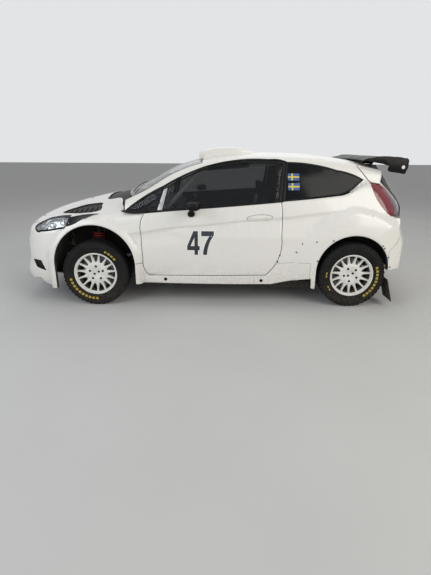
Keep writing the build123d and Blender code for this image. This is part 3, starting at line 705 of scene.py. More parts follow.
def join_meshes(name, objects):
    """Several finished meshes as one piece, keeping their materials."""
    verts, faces, marks, finishes = [], [], [], []
    base = 0
    for obj in objects:
        mesh = obj.data
        slots = []
        for material in mesh.materials:
            if material.name not in finishes:
                finishes.append(material.name)
            slots.append(finishes.index(material.name))
        co = np.empty(len(mesh.vertices) * 3)
        mesh.vertices.foreach_get("co", co)
        verts.append(co.reshape(-1, 3) / MM)
        for polygon in mesh.polygons:
            faces.append([base + v for v in polygon.vertices])
            marks.append(slots[polygon.material_index] if slots else 0)
        base += len(mesh.vertices)
        bpy.data.objects.remove(obj)
    return new_object(name, np.vstack(verts), faces, finishes, marks)


def both_sides(name, left):
    """A left-hand form and its copy on the right as one piece."""
    return join_meshes(name, [left, copied_across(left, "right_hand_copy")])


def mirrored(line):
    """A line round the nose or the tail on the other side of the middle."""
    return [(-u, v) for u, v in line]


def lathe(profile, around=48, axis="Y", centre=(0, 0, 0), closed=True):
    """A turned form: profile is distance from the axis and place along it."""
    verts, faces = [], []
    n = len(profile)
    for k in range(around):
        a = 2 * math.pi * k / around
        for r, h in profile:
            flat = (r * math.cos(a), r * math.sin(a))
            point = (flat[0], h, flat[1]) if axis == "Y" else (flat[0], flat[1], h)
            verts.append([point[i] + centre[i] for i in range(3)])
    for k in range(around):
        m = (k + 1) % around
        for i in range(n if closed else n - 1):
            j = (i + 1) % n
            faces.append((k * n + i, k * n + j, m * n + j, m * n + i))
    return np.array(verts, float), faces


def outward(verts, faces):
    """Face winding turned so that normals point out of the closed form."""
    bm = bmesh.new()
    made = [bm.verts.new(v) for v in verts]
    for f in faces:
        try:
            bm.faces.new([made[i] for i in f])
        except ValueError:
            continue
    bmesh.ops.remove_doubles(bm, verts=bm.verts, dist=0.01)
    bmesh.ops.recalc_face_normals(bm, faces=bm.faces)
    bm.verts.ensure_lookup_table()
    bm.verts.index_update()
    out_v = [tuple(v.co) for v in bm.verts]
    out_f = [[v.index for v in f.verts] for f in bm.faces]
    bm.free()
    return out_v, out_f


def box_form(x0, x1, y0, y1, z0, z1, bevel=2.0, segments=2):
    """A block with rolled edges, as vertices and faces."""
    bm = bmesh.new()
    bmesh.ops.create_cube(bm, size=1.0)
    for v in bm.verts:
        v.co = Vector(((x0 + x1) / 2 + v.co.x * (x1 - x0), (y0 + y1) / 2 + v.co.y * (y1 - y0),
                       (z0 + z1) / 2 + v.co.z * (z1 - z0)))
    if bevel:
        bmesh.ops.bevel(bm, geom=list(bm.edges), offset=bevel, segments=segments, affect="EDGES",
                        profile=0.6)
    bm.verts.index_update()
    out = [tuple(v.co) for v in bm.verts], [[v.index for v in f.verts] for f in bm.faces]
    bm.free()
    return out


def run_at(line, i):
    """The way a line runs at one of its points."""
    return (line[min(i + 1, len(line) - 1)] - line[max(i - 1, 0)]).normalized()


def tube_form(points, radius, around=14, bend=60.0, step=0.18):
    """A round tube along straight runs with rounded corners."""
    pts = [Vector(p) for p in points]
    line = [pts[0]]
    for a, b, c in zip(pts, pts[1:], pts[2:]):
        u, v = (a - b).normalized(), (c - b).normalized()
        angle = u.angle(v)
        cut = min(bend / math.tan(angle / 2), (a - b).length * 0.45, (c - b).length * 0.45)
        start, end = b + u * cut, b + v * cut
        n = max(2, int((math.pi - angle) / step))
        for k in range(n + 1):
            t = k / n
            line.append(start * (1 - t) ** 2 + b * (2 * t * (1 - t)) + end * t**2)
    line.append(pts[-1])
    rings = []
    frame_x = None
    for i, p in enumerate(line):
        ahead = run_at(line, i)
        if frame_x is None:
            frame_x = ahead.orthogonal().normalized()
        frame_x = (frame_x - ahead * frame_x.dot(ahead)).normalized()
        rings.append(round_ring(p, frame_x, ahead.cross(frame_x), radius, around))
    return swept_ring(rings)


def round_ring(centre, x, y, radius, around):
    """Points round a circle in the plane of two directions."""
    turns = [2 * math.pi * k / around for k in range(around)]
    return [tuple(centre + x * (radius * math.cos(a)) + y * (radius * math.sin(a))) for a in turns]


def joined_form(forms):
    """Several vertex and face lists as one."""
    verts, faces = [], []
    for v, f in forms:
        base = len(verts)
        verts += [tuple(p) for p in v]
        faces += [[base + i for i in face] for face in f]
    return verts, faces


def moved_form(form, matrix):
    verts, faces = form
    return [tuple(matrix @ Vector(v)) for v in verts], faces


# Finishes

def linear(colour):
    """An sRGB hex colour as linear values."""
    parts = [int(colour[i : i + 2], 16) / 255 for i in (1, 3, 5)]
    return tuple((c / 12.92) if c <= 0.04045 else ((c + 0.055) / 1.055) ** 2.4 for c in parts) + (1.0,)


def add(tree, kind, inputs=None, **settings):
    """One node with its settings; an input is a value or another node's socket."""
    node = tree.nodes.new(kind)
    for key, value in settings.items():
        setattr(node, key, value)
    for key, value in (inputs or {}).items():
        socket = node.inputs[key]
        if isinstance(value, bpy.types.NodeSocket):
            tree.links.new(value, socket)
        else:
            socket.default_value = value
    return node


def per_metre(millimetres):
    """A pattern scale whose features are this many millimetres apart."""
    return 1000.0 / millimetres


FINISHES = {}


def blank_material(name):
    """A new finish with an empty tree, and the node output for a point's own place on the car."""
    material = bpy.data.materials.new(name)
    material.use_nodes = True
    tree = material.node_tree
    tree.nodes.clear()
    return material, tree, add(tree, "ShaderNodeTexCoord").outputs["Object"]


def put_out(material, shader, plain_colour):
    """The shader as the surface of its finish, with a plain colour for the solid view."""
    tree = material.node_tree
    out = add(tree, "ShaderNodeOutputMaterial")
    tree.links.new(shader.outputs[0], out.inputs["Surface"])
    material.diffuse_color = plain_colour
    FINISHES[material.name] = material


def finish(name, colour, roughness, tone, tone_mm, grain_mm, grain_depth_mm, metallic=0.0,
           rough_spread=0.08, dirt=None, dirt_top=0.42, coat=0.0, sheen=0.0, specks=None, specular=0.5):
    """Colour with slow tone changes, a fine grain, uneven gloss, and dirt that thins out upwards."""
    material, tree, place = blank_material(name)
    slow = add(tree, "ShaderNodeTexNoise", {"Vector": place, "Scale": per_metre(tone_mm), "Detail": 4.0,
                                            "Roughness": 0.55})
    fine = add(tree, "ShaderNodeTexNoise", {"Vector": place, "Scale": per_metre(grain_mm), "Detail": 2.0})
    base = linear(colour)
    dark = tuple(c * (1 - tone * 2.2) for c in base[:3]) + (1.0,)
    mask = add(tree, "ShaderNodeMapRange", {"Value": slow.outputs["Fac"], "From Min": 0.35,
                                            "From Max": 0.7})
    shade = add(tree, "ShaderNodeMix", {0: mask.outputs["Result"], 6: base, 7: dark},
                data_type="RGBA").outputs[2]
    if specks:
        spot = add(tree, "ShaderNodeTexVoronoi", {"Vector": place, "Scale": per_metre(specks[1])})
        near = add(tree, "ShaderNodeMapRange", {"Value": spot.outputs["Distance"], "From Min": 0.10,
                                                "From Max": 0.16, "To Min": 1.0, "To Max": 0.0})
        thin = add(tree, "ShaderNodeTexNoise", {"Vector": place, "Scale": per_metre(specks[1] * 5)})
        keep = add(tree, "ShaderNodeMapRange", {"Value": thin.outputs["Fac"], "From Min": 0.52,
                                                "From Max": 0.62})
        amount = add(tree, "ShaderNodeMath", {0: near.outputs["Result"], 1: keep.outputs["Result"]},
                     operation="MULTIPLY")
        shade = add(tree, "ShaderNodeMix", {0: amount.outputs[0], 6: shade, 7: linear(specks[0])},
                    data_type="RGBA").outputs[2]
    rough = add(tree, "ShaderNodeMapRange", {"Value": slow.outputs["Fac"], "From Min": 0.3,
                                             "From Max": 0.75,
                                             "To Min": max(roughness - rough_spread, 0.02),
                                             "To Max": roughness + rough_spread})
    rough = rough.outputs["Result"]
    if dirt:
        height = add(tree, "ShaderNodeSeparateXYZ", {"Vector": place}).outputs["Z"]
        low = add(tree, "ShaderNodeMapRange", {"Value": height, "From Min": dirt_top, "From Max": 0.12,
                                               "To Min": 0.0, "To Max": 0.55})
        splash = add(tree, "ShaderNodeTexNoise", {"Vector": place, "Scale": per_metre(22), "Detail": 6.0,
                                                  "Roughness": 0.7})
        spread = add(tree, "ShaderNodeMapRange", {"Value": splash.outputs["Fac"], "From Min": 0.36,
                                                  "From Max": 0.72})
        amount = add(tree, "ShaderNodeMath", {0: low.outputs["Result"], 1: spread.outputs["Result"]},
                     operation="MULTIPLY")
        shade = add(tree, "ShaderNodeMix", {0: amount.outputs[0], 6: shade, 7: linear(dirt)},
                    data_type="RGBA").outputs[2]
        rough = add(tree, "ShaderNodeMath", {0: rough, 1: amount.outputs[0]}, operation="ADD",
                    use_clamp=True).outputs[0]
    bump = add(tree, "ShaderNodeBump", {"Strength": 0.35, "Distance": grain_depth_mm * MM,
                                        "Height": fine.outputs["Fac"]})
    shader = add(tree, "ShaderNodeBsdfPrincipled", {"Base Color": shade, "Roughness": rough,
                                                    "Metallic": metallic,
                                                    "Normal": bump.outputs["Normal"], "Coat Weight": coat,
                                                    "Coat Roughness": 0.06, "Sheen Weight": sheen,
                                                    "Specular IOR Level": specular})
    put_out(material, shader, base)


def glass(name, tint, alpha, roughness=0.02, coat=0.5, specular=0.5):
    """Flat glass with a tint; its share of see-through is the alpha."""
    material, tree, place = blank_material(name)
    haze = add(tree, "ShaderNodeTexNoise", {"Vector": place, "Scale": per_metre(60), "Detail": 5.0})
    rough = add(tree, "ShaderNodeMapRange", {"Value": haze.outputs["Fac"], "From Min": 0.45,
                                             "From Max": 0.8,
                                             "To Min": roughness, "To Max": roughness + 0.07})
    colour = add(tree, "ShaderNodeMix", {0: haze.outputs["Fac"], 6: linear(tint),
        7: tuple(c * 0.8 for c in linear(tint)[:3]) + (1.0,)}, data_type="RGBA").outputs[2]
    shader = add(tree, "ShaderNodeBsdfPrincipled",
                 {"Base Color": colour, "Roughness": rough.outputs["Result"],
                                                    "Alpha": alpha, "Coat Weight": coat,
                                                    "Coat Roughness": 0.02,
                                                    "Specular IOR Level": specular})
    put_out(material, shader, linear(tint)[:3] + (alpha,))


# colour, roughness, share and size of the slow tone changes, size and depth of the grain in mm, and what
# else it has
FINISH_LIST = [
    # flat white enamel on the wheels, greyed by brake and road dust
    ("wheel_paint", "#E6E6E1", 0.34, 0.02, 60, 0.8, 0.03, dict(dirt="#8B8175", dirt_top=0.62, coat=0.3)),
    # smooth black trim with a weak sheen, so that it stays dark under the lights
    ("satin_black_trim", "#070708", 0.46, 0.1, 120, 0.6, 0.02, dict(specular=0.22)),
    # grained plastic of bumpers and scuttle, dusty in its lower parts
    ("textured_black_plastic", "#161617", 0.62, 0.12, 90, 0.8, 0.12, dict(dirt="#6B6157", dirt_top=0.5)),
    # coarse dark coating of arches and floor under a film of mud
    ("underbody_coating", "#1D1C1B", 0.78, 0.16, 140, 3.0, 0.4, dict(dirt="#6A5F54", dirt_top=0.9)),
    # worn steel of discs and fixings
    ("brushed_steel", "#8C8B88", 0.38, 0.1, 40, 0.7, 0.03,
     dict(metallic=1.0, dirt="#5E554C", dirt_top=0.6)),
    # dull sheet with a fine grain
    ("aluminium_sheet", "#A9AAAB", 0.42, 0.06, 60, 0.6, 0.03,
     dict(metallic=1.0, dirt="#6A5F54", dirt_top=0.5)),
    # heat-stained steel, warmer and more uneven than the rest
    ("exhaust_steel", "#7E7468", 0.46, 0.16, 120, 0.8, 0.05,
     dict(metallic=1.0, dirt="#5A4E43", dirt_top=0.6)),
    # light grey paint of the roll cage
    ("cage_paint", "#D4D6D6", 0.4, 0.03, 200, 1.2, 0.03, dict()),
    # dark grey paint inside the shell
    ("cabin_paint", "#33363A", 0.6, 0.08, 200, 1.6, 0.06, dict()),
    # black flock that takes every gleam off the dashboard
    ("dash_flock", "#111112", 0.92, 0.06, 40, 0.7, 0.2, dict(sheen=0.4)),
    # glossy dark moulding of the seat shells
    ("seat_shell", "#141517", 0.3, 0.08, 60, 2.0, 0.03, dict(coat=0.5)),
    # matt suede with a soft edge to its light
    ("suede_grip", "#161616", 0.9, 0.1, 20, 0.5, 0.12, dict(sheen=0.3)),
    # bright metal of the lamp bowls and mirrors
    ("reflector_chrome", "#D9DADB", 0.09, 0.02, 30, 3.0, 0.01, dict(metallic=1.0)),
    # dark grey moulding inside the lamps
    ("lamp_bezel", "#2A2C30", 0.34, 0.06, 60, 1.0, 0.02, dict()),
    # dark brown-grey inside the wheel barrels: painted shade of the barrel, with some brake dust
    ("brake_dust", "#3B3936", 0.7, 0.12, 40, 1.2, 0.05, dict()),
    # grey line of a panel joint, and painted shade in the recess round the door handle
    ("joint_grey_and_recess_shade", "#6E6C66", 0.6, 0.05, 60, 1.0, 0.03, dict()),
    # dark film of the door number
    ("number_vinyl", "#2A3034", 0.42, 0.05, 90, 1.4, 0.01, dict()),
    # white film round the number
    ("white_vinyl", "#F0F0EE", 0.4, 0.01, 90, 1.4, 0.01, dict()),
    # blue film of the window flags
    ("blue_vinyl", "#2B5C9B", 0.42, 0.03, 60, 1.4, 0.01, dict()),
    # yellow film of the window flags
    ("yellow_vinyl", "#E4C63A", 0.42, 0.03, 60, 1.4, 0.01, dict()),
    # rubbed yellow paint on the tyre wall
    ("yellow_tyre_paint", "#B9A637", 0.6, 0.2, 12, 1.0, 0.05, dict()),
    # red enamel of the front springs, dusty
    ("spring_red", "#9E2A22", 0.45, 0.06, 40, 1.0, 0.02, dict(dirt="#5E554C", dirt_top=0.8)),
    # coarse red webbing of the harness
    ("webbing_red", "#9C1F22", 0.8, 0.06, 20, 1.2, 0.3, dict(sheen=0.2)),
    # near-black matt rubber with pale specks of gravel dust
    ("gravel_tyre_rubber", "#090909", 0.78, 0.14, 70, 0.9, 0.12,
     dict(specular=0.3, specks=("#5F5A53", 11.0), dirt="#57504A", dirt_top=0.42)),
]


def make_finishes():
    chosen = bpy.context.scene.rally_paint.body_colour
    paint = "#%02X%02X%02X" % tuple(int(round(c * 255)) for c in chosen)
    # clean warm white under a thin coat, with road dust that thins out above the sills
    finish("white_paint", paint, 0.27, 0.012, 400, 2.2, 0.012, rough_spread=0.05, dirt="#8D8377",
           dirt_top=0.5, coat=0.4)
    for name, colour, roughness, tone, tone_mm, grain_mm, grain_depth_mm, more in FINISH_LIST:
        finish(name, colour, roughness, tone, tone_mm, grain_mm, grain_depth_mm, **more)
    seat_cloth("seat_cloth")
    # light tint that shows the cage behind it
    glass("side_glass_tint", "#0C1216", 0.4, coat=0.2, specular=0.3)
    # almost opaque, with a weak reflection, as the rear side glass in the photograph
    glass("dark_quarter_glass", "#06090D", 0.975, roughness=0.1, coat=0.0, specular=0.16)
    # clear with a cool cast
    glass("windscreen_glass", "#141C20", 0.5)
    # clear cover over the headlight
    glass("lamp_clear_lens", "#DDE4EA", 0.2)
    # deep red moulding and the smoked one beside it
    glass("red_lens", "#7C0A18", 0.98, roughness=0.05)
    glass("smoked_lens", "#5E5560", 0.92, roughness=0.05)


def seat_cloth(name):
    """Woven seat cloth: fine crossed threads with a soft sheen."""
    material, tree, place = blank_material(name)
    across = add(tree, "ShaderNodeTexWave", {"Vector": place, "Scale": per_metre(7.5)}, bands_direction="Y")
    along = add(tree, "ShaderNodeTexWave", {"Vector": place, "Scale": per_metre(7.5)}, bands_direction="Z")
    weave = add(tree, "ShaderNodeMath", {0: across.outputs["Fac"], 1: along.outputs["Fac"]},
                operation="MAXIMUM")
    slow = add(tree, "ShaderNodeTexNoise", {"Vector": place, "Scale": per_metre(50), "Detail": 4.0})
    colour = add(tree, "ShaderNodeMix", {0: weave.outputs[0], 6: linear("#101114"), 7: linear("#23262B")},
                 data_type="RGBA").outputs[2]
    worn = add(tree, "ShaderNodeMix", {0: slow.outputs["Fac"], 6: colour, 7: linear("#2C2F34")},
               data_type="RGBA").outputs[2]
    bump = add(tree, "ShaderNodeBump", {"Strength": 0.6, "Distance": 0.4 * MM, "Height": weave.outputs[0]})
    shader = add(tree, "ShaderNodeBsdfPrincipled", {"Base Color": worn, "Roughness": 0.92,
                                                    "Sheen Weight": 0.35,
                                                    "Normal": bump.outputs["Normal"]})
    put_out(material, shader, linear("#101114"))


def look(name):
    return FINISHES[name]


def dress(node, finish_name):
    """A carried-over CAD node gets its finish on its own material slots."""
    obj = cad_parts[node]
    for slot in obj.material_slots:
        slot.link = "OBJECT"
        slot.material = look(finish_name)


def done(obj, body, nodes=()):
    """A finished piece rides its body and stands for its nodes, which are hidden."""
    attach(obj, body)
    if nodes:
        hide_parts(*nodes)
    return obj


def done_both_sides(left, body, nodes):
    """A left-hand piece and its copy on the right, each on the body and the node of its own side."""
    right = copied_across(left, left.name.replace("left", "right"))
    for piece, hand in ((left, "left"), (right, "right")):
        done(piece, body.replace("left", hand), [node.replace("left", hand) for node in nodes])


SIDES = (("left", -1), ("right", 1))


# Body pieces

def roof_line_z(x):
    """Height of the seam between roof and side at x."""
    x = np.atleast_1d(np.asarray(x, float))
    p, _ = ON_ROOF(np.column_stack([x, -roof_edge(x)]))
    return p[:, 2]


def bonnet_edge_y(x):
    """Distance of the bonnet's long edge from the centre line."""
    line = [(-1740, 690), (-1640, 742), (-1533, 739), (-1400, 738), (-1150, 738), (-866, 742)]
    return np.interp(x, [p[0] for p in line], [p[1] for p in line])


def under_roof_line():
    """Everything in the side view below the roof seam, as an outline, with guide lines under the seam."""
    x = np.linspace(-990, 1690, 150)
    z = roof_line_z(x) - 0.8
    outline = list(zip(x, z)) + [(1900.0, z[-1]), (1900.0, 100.0), (-990.0, 100.0)]
    fine = np.linspace(-960, 1660, 110)
    fine_z = roof_line_z(fine)
    guides = [list(zip(fine, fine_z - d)) for d in (2.2, 4, 7, 11, 16, 23, 32, 44)]
    return outline, guides


# Guide lines run beside an edge in the form, so that the mesh has points where it bends

def line_guides(height, x0, x1, spacing, drops):
    x = np.linspace(x0, x1, int((x1 - x0) / spacing))
    return [list(zip(x, height(x) - d)) for d in drops]


def belt_guides(x0, x1):
    return line_guides(belt_z, x0, x1, 16, (0.5, 2.5, 6, 10, 15))


def flare_guides(arch, reach=(1.5, 5, 11, 24, 40)):
    x, z, lip = arch[:3]
    return [ring_line(x, z, lip + d, 13, 4, 176) for d in reach]


def swage_guides(x0, x1):
    return line_guides(swage_z, x0, x1, 20, (-6, 0, 5, 10, 16, 24))


def tuck_guides(x0, x1):
    return line_guides(tuck_z, x0, x1, 20, (-8, 2, 12, 22, 34))


def kept_guides(guides, keep, cut, room=7.0):
    """The stretches of guide line that lie well inside the piece."""
    kept = []
    borders = np.array([p for line in list(keep) + list(cut) for p in line], float)
    for guide in guides:
        pts = np.array(guide, float)
        ok = np.ones(len(pts), bool)
        for line in keep:
            ok &= inside_line(line, pts)
        for line in cut:
            ok &= ~inside_line(line, pts)
        near = np.array([((borders - p) ** 2).sum(1).min() for p in pts])
        ok &= near > room**2
        run = []
        for p, good in zip(guide, ok):
            if good:
                run.append(tuple(p))
            elif run:
                if len(run) > 1:
                    kept.append(run)
                run = []
        if len(run) > 1:
            kept.append(run)
    return kept


def flank_panel(name, keep, cut, wall, guides, outside, inside=None, lift=None, sink=0.0, step=26.0,
                edge=2.4):
    """A panel seen from the left, with the guide lines that cross it."""
    return panel(name, lift or ON_FLANK, keep, cut, wall=wall, sink=sink, step=step, edge=edge,
                 guides=kept_guides(guides, keep, cut), outside=outside, inside=inside)


# Clear space round a door, and x, z of the jacking points in the sill
DOOR_GAP = 5.0
JACK_HOLES = ((-474, 261), (463, 261))


def make_side_frames():
    roof_outline, rail_guides = under_roof_line()
    keep = [trace(SIDE_PANEL, 13), roof_outline]
    door_hole = grown(trace(DOOR_LOWER, 13), DOOR_GAP)
    window_hole = grown(trace(DOOR_WINDOW_FRAME, 13), DOOR_GAP)
    band = trace(DARK_BAND, 13)
    jacks = [ring_line(x, z, 16, 6) for x, z in JACK_HOLES]
    front = [trace([(-1300, 700), (-846, 700), (-846, 1200), (-1300, 1200)], 20)]
    cut = [door_hole, window_hole, band, arch_line(REAR_FLARE)] + jacks + front
    guides = rail_guides + belt_guides(-700, 1600) + flare_guides(REAR_FLARE,
        (1.5, 5, 11, 24, 45, 70, 100, 130, 160, 190))
    guides += swage_guides(640, 1250) + tuck_guides(640, 860)
    skin = flank_panel("left_side_skin", keep, cut, 40, guides, "white_paint", "cabin_paint")
    dark = flank_panel("left_window_band", [band, roof_outline],
                       [door_hole, window_hole, trace(QUARTER_GLASS, 13), trace(SAIL_GLASS, 13)], 36,
                       belt_guides(-840, 1300), "satin_black_trim", edge=1.6)
    done_both_sides(join_meshes("left_side_shell", [skin, dark]), "body_shell", ["left_side_frame"])


def make_wings():
    x = np.linspace(-1500, -840, 60)
    edge_y = bonnet_edge_y(x) + 5
    p, _ = ON_BONNET(np.column_stack([x, -edge_y]))
    seam = p[:, 2] - 0.6
    roof = list(zip(x, seam)) + [(-840.0, 910.0), (-640.0, 905.0), (-640.0, 200.0), (-1500.0, 200.0)]
    keep = [trace(WING_SIDE, 12), roof]
    cut = [grown(trace(DOOR_LOWER, 12), DOOR_GAP), arch_line(FRONT_FLARE), grown(trace(HEADLIGHT, 12), 3),
           trace(LAMP_GAP_SHADE, 12)]
    guides = [list(zip(x, seam - d)) for d in (2, 4, 7, 11, 16, 22, 30, 40, 52)]
    guides += flare_guides(FRONT_FLARE, (1.5, 5, 11, 22, 34, 46, 58)) + swage_guides(-960, -640)
    left = flank_panel("left_front_wing_skin", keep, cut, 24, guides, "white_paint", "underbody_coating",
                       lift=ON_WING, step=22)
    done_both_sides(left, "body_shell", ["left_front_wing"])


def make_doors():
    lower = trace(DOOR_LOWER, 12)
    guides = belt_guides(-640, 640) + swage_guides(-690, 640) + tuck_guides(-660, 620)
    skin = flank_panel("left_door_skin", [lower], [], 58, guides, "white_paint", "cabin_paint", edge=2.6)
    frame_line = trace(DOOR_WINDOW_FRAME, 12)
    rim = flank_panel("left_door_rim", [frame_line], [trace(DOOR_GLASS, 12), lower], 38, [],
                      "satin_black_trim", lift=ON_CABIN, edge=2.0)
    done_both_sides(join_meshes("left_door_shell", [skin, rim]), "left_door", ["left_door"])


def make_side_glass():
    pane = panel("left_door_pane", ON_CABIN, [trace(DOOR_GLASS, 14)], sink=6, wall=5, edge=0.6, step=40,
                 outside="side_glass_tint")
    done_both_sides(pane, "left_door", ["left_door_glass"])
    rear = panel("quarter", ON_CABIN, [trace(QUARTER_GLASS, 14)], sink=3, wall=5, edge=0.6, step=40,
                 outside="dark_quarter_glass")
    sail = panel("sail", ON_CABIN, [trace(SAIL_GLASS, 14)], sink=4, wall=5, edge=0.6, step=40,
                 outside="side_glass_tint")
    left = join_meshes("left_fixed_panes", [rear, sail])
    right = copied_across(left, "right_fixed_panes")
    done(left, "body_shell", ["side_glass"])
    done(right, "body_shell", [])


def roof_outline_plan(x0, x1, inset):
    x = np.linspace(x0, x1, 90)
    y = roof_edge(x) - inset
    return list(zip(x, -y)) + list(zip(x[::-1], y[::-1]))


def make_roof():
    outline = roof_outline_plan(-116, 1387, 3.0)
    dense = dense_line(outline, 22)
    guides = []
    x = np.linspace(-100, 1370, 70)
    for d in (5, 10, 16, 24):
        y = roof_edge(x) - 3 - d
        guides += [list(zip(x, y)), list(zip(x, -y))]
    skin = panel("roof_skin", ON_ROOF, [dense], wall=22, edge=2.2, step=38,
                 guides=kept_guides(guides, [dense], [], 3), outside="white_paint", inside="cabin_paint")
    done(skin, "body_shell", ["roof_panel"])


def scoop_ring(x, half, low, top, shoulder):
    """One section of the roof intake, from the left foot over the top to the right foot."""
    flat = half - shoulder
    ring = [(x, -half, low), (x, -half, top - shoulder)]
    for k in range(1, 6):
        a = math.pi / 2 * k / 6
        ring.append((x, -flat - shoulder * math.cos(a), top - shoulder + shoulder * math.sin(a)))
    for k in range(0, 9):
        t = -1 + k / 4
        ring.append((x, flat * t, top + 5 * (1 - t * t)))
    for k in range(1, 6):
        a = math.pi / 2 * (1 - k / 6)
        ring.append((x, flat + shoulder * math.cos(a), top - shoulder + shoulder * math.sin(a)))
    ring += [(x, half, top - shoulder), (x, half, low)]
    return ring


def strip_faces(rings, n):
    """Faces between following rings of n points that are open at their feet."""
    return [(i * n + k, i * n + k + 1, (i + 1) * n + k + 1, (i + 1) * n + k)
            for i in range(rings - 1) for k in range(n - 1)]


def make_scoop():
    # x, half width, height of the top, shoulder radius
    sections = [(-164, 166, 1436, 20), (-150, 168, 1448, 24), (-110, 171, 1462, 27),
                (-60, 174, 1474, 28), (0, 177, 1484, 28), (80, 179, 1491, 28), (170, 177, 1493, 27),
                (250, 168, 1488, 24), (320, 154, 1478, 19), (370, 140, 1464, 13), (412, 124, 1447, 6)]
    outer = []
    for x, half, top, shoulder in sections:
        p, _ = ON_ROOF(np.array([[max(x, -118.0), half]]))
        low = max(p[0, 2] - 6, 1371) if x > -118 else 1378
        outer.append(scoop_ring(x, half, low, top, shoulder))
    inner = []
    for x, half, top, shoulder in sections[:7]:
        inner.append(scoop_ring(x, half - 9, 1378, top - 9, max(shoulder - 6, 6)))
    n = len(outer[0])
    base = len(outer) * n
    verts = [p for ring in outer + inner for p in ring]
    outer_faces = strip_faces(len(outer), n)
    inner_faces = [tuple(base + i for i in face[::-1]) for face in strip_faces(len(inner), n)]
    lip_faces = [(k, base + k, base + k + 1, k + 1) for k in range(n - 1)]
    inner_end = [base + (len(inner) - 1) * n + k for k in range(n)]
    outer_end = [base - 1 - k for k in range(n)]
    faces = outer_faces + inner_faces + lip_faces + [inner_end, outer_end]
    marks = [0] * len(outer_faces) + [1] * len(inner_faces) + [0] * len(lip_faces) + [1, 0]
    obj = new_object("roof_scoop_skin", verts, faces, ["white_paint", "satin_black_trim"], marks)
    flap = box_form(-40, 150, -150, 150, 1404, 1410, 2)
    flap_obj = new_object("roof_vent_flap", *flap, ["satin_black_trim"])
    done(obj, "body_shell", ["roof_scoop"])
    done(flap_obj, "body_shell", [])


def bonnet_nose_x(y):
    """Where the bonnet's front edge lies at a distance from the centre line."""
    return float(nose_x(np.array([760.0]))[0]) + 9 + 105 * (y / 830) ** 2


def bonnet_plan_line():
    """The bonnet from above, its nose following the front panel."""
    line = [(-866.0, 742.0), (-1150.0, 738.0), (-1400.0, 738.0), (-1533.0, 739.0), (-1640.0, 742.0),
            (-1685.0, 734.0), (-1725.0, 700.0), (-1755.0, 640.0)]
    y = np.linspace(560, -560, 41)
    corner_drop = 60 * np.clip((np.abs(y) - 470) / 90, 0, 1) ** 2
    front = list(zip(bonnet_nose_x(y) + corner_drop, y))
    right = [(x, -v) for x, v in reversed(line)]
    corner = trace([(-866, 742), (-874, 690), (-904, 600), (-912, 536), (-928, 482),
                    (-950, 440, -1032, 424), (-1084, 400, -1108, 300), (-1122, 144), (-1124, 0)], 16, False)
    rear = [(x, -y) for x, y in corner[1:]] + [(x, y) for x, y in reversed(corner[1:-1])]
    return dense_line(line + front + right + rear, 18)


SIDE_VENT = [(-1500, 600), (-1474, 545, -1410, 500), (-1310, 448, -1196, 462), (-1140, 480, -1122, 560),
             (-1100, 640, -1102, 686), (-1150, 708, -1240, 716), (-1339, 704, -1423, 668),
             (-1480, 636, -1500, 600)]


def make_bonnet():
    outline = bonnet_plan_line()
    vent = trace(SIDE_VENT, 10)
    vents = [vent, [(x, -y) for x, y in vent]]
    lamp_cuts = []
    for side in (-1, 1):
        lamp = trace(HEADLIGHT, 12)
        p, _ = ON_WING(np.array(grown(lamp, 5)))
        lamp_cuts.append([(q[0], q[1] * -side) for q in p])
    x = np.linspace(-1560, -880, 40)
    guides = []
    for d in (4, 9, 16, 26, 40):
        y = bonnet_edge_y(x) - d
        guides += [list(zip(x, y)), list(zip(x, -y))]
    y = np.linspace(-500, 500, 60)
    nose = bonnet_nose_x(y)
    for d in (3, 7, 13, 22, 34, 50):
        guides.append(list(zip(nose + d, y)))
    cut = vents + lamp_cuts
    skin = panel("bonnet_skin", ON_BONNET, [outline], cut, wall=22, edge=2.4, step=34,
                 guides=kept_guides(guides, [outline], cut, 4), outside="white_paint",
                 inside="underbody_coating")
    forms = []
    for vent in vents:
        tray = panel("tray", ON_BONNET, [grown(vent, 3)], sink=17, wall=6, edge=0, step=30,
                     outside="textured_black_plastic")
        forms.append(tray)
    for side in (-1, 1):
        for k in range(6):
            x = -1430 + 52 * k
            y0, y1 = 560, 660
            lip = panel("louvre", ON_BONNET,
                        [trace([(x, side * y0), (x + 16, side * y0), (x + 16, side * y1), (x, side * y1)],
                               14)], sink=5, wall=9, edge=1.0, step=30, outside="textured_black_plastic")
            forms.append(lip)
    vents_piece = join_meshes("bonnet_vents", forms)
    done(skin, "bonnet", ["bonnet"])
    done(vents_piece, "bonnet", [])


def make_cowl():
    skin = panel("scuttle_panel", ON_BONNET, [trace(COWL_PLAN, 16)], sink=14, wall=14, edge=1.6, step=26,
                 outside="textured_black_plastic")
    done(skin, "body_shell", ["cowl"])


def dense_line(points, step=14.0, closed=True):
    """The same straight runs with a point at every step or closer."""
    out = []
    pairs = list(zip(points, points[1:] + points[:1])) if closed else list(zip(points, points[1:]))
    for a, b in pairs:
        n = max(1, int(math.dist(a, b) / step))
        out += [(a[0] + (b[0] - a[0]) * k / n, a[1] + (b[1] - a[1]) * k / n) for k in range(n)]
    if not closed:
        out.append(points[-1])
    return out


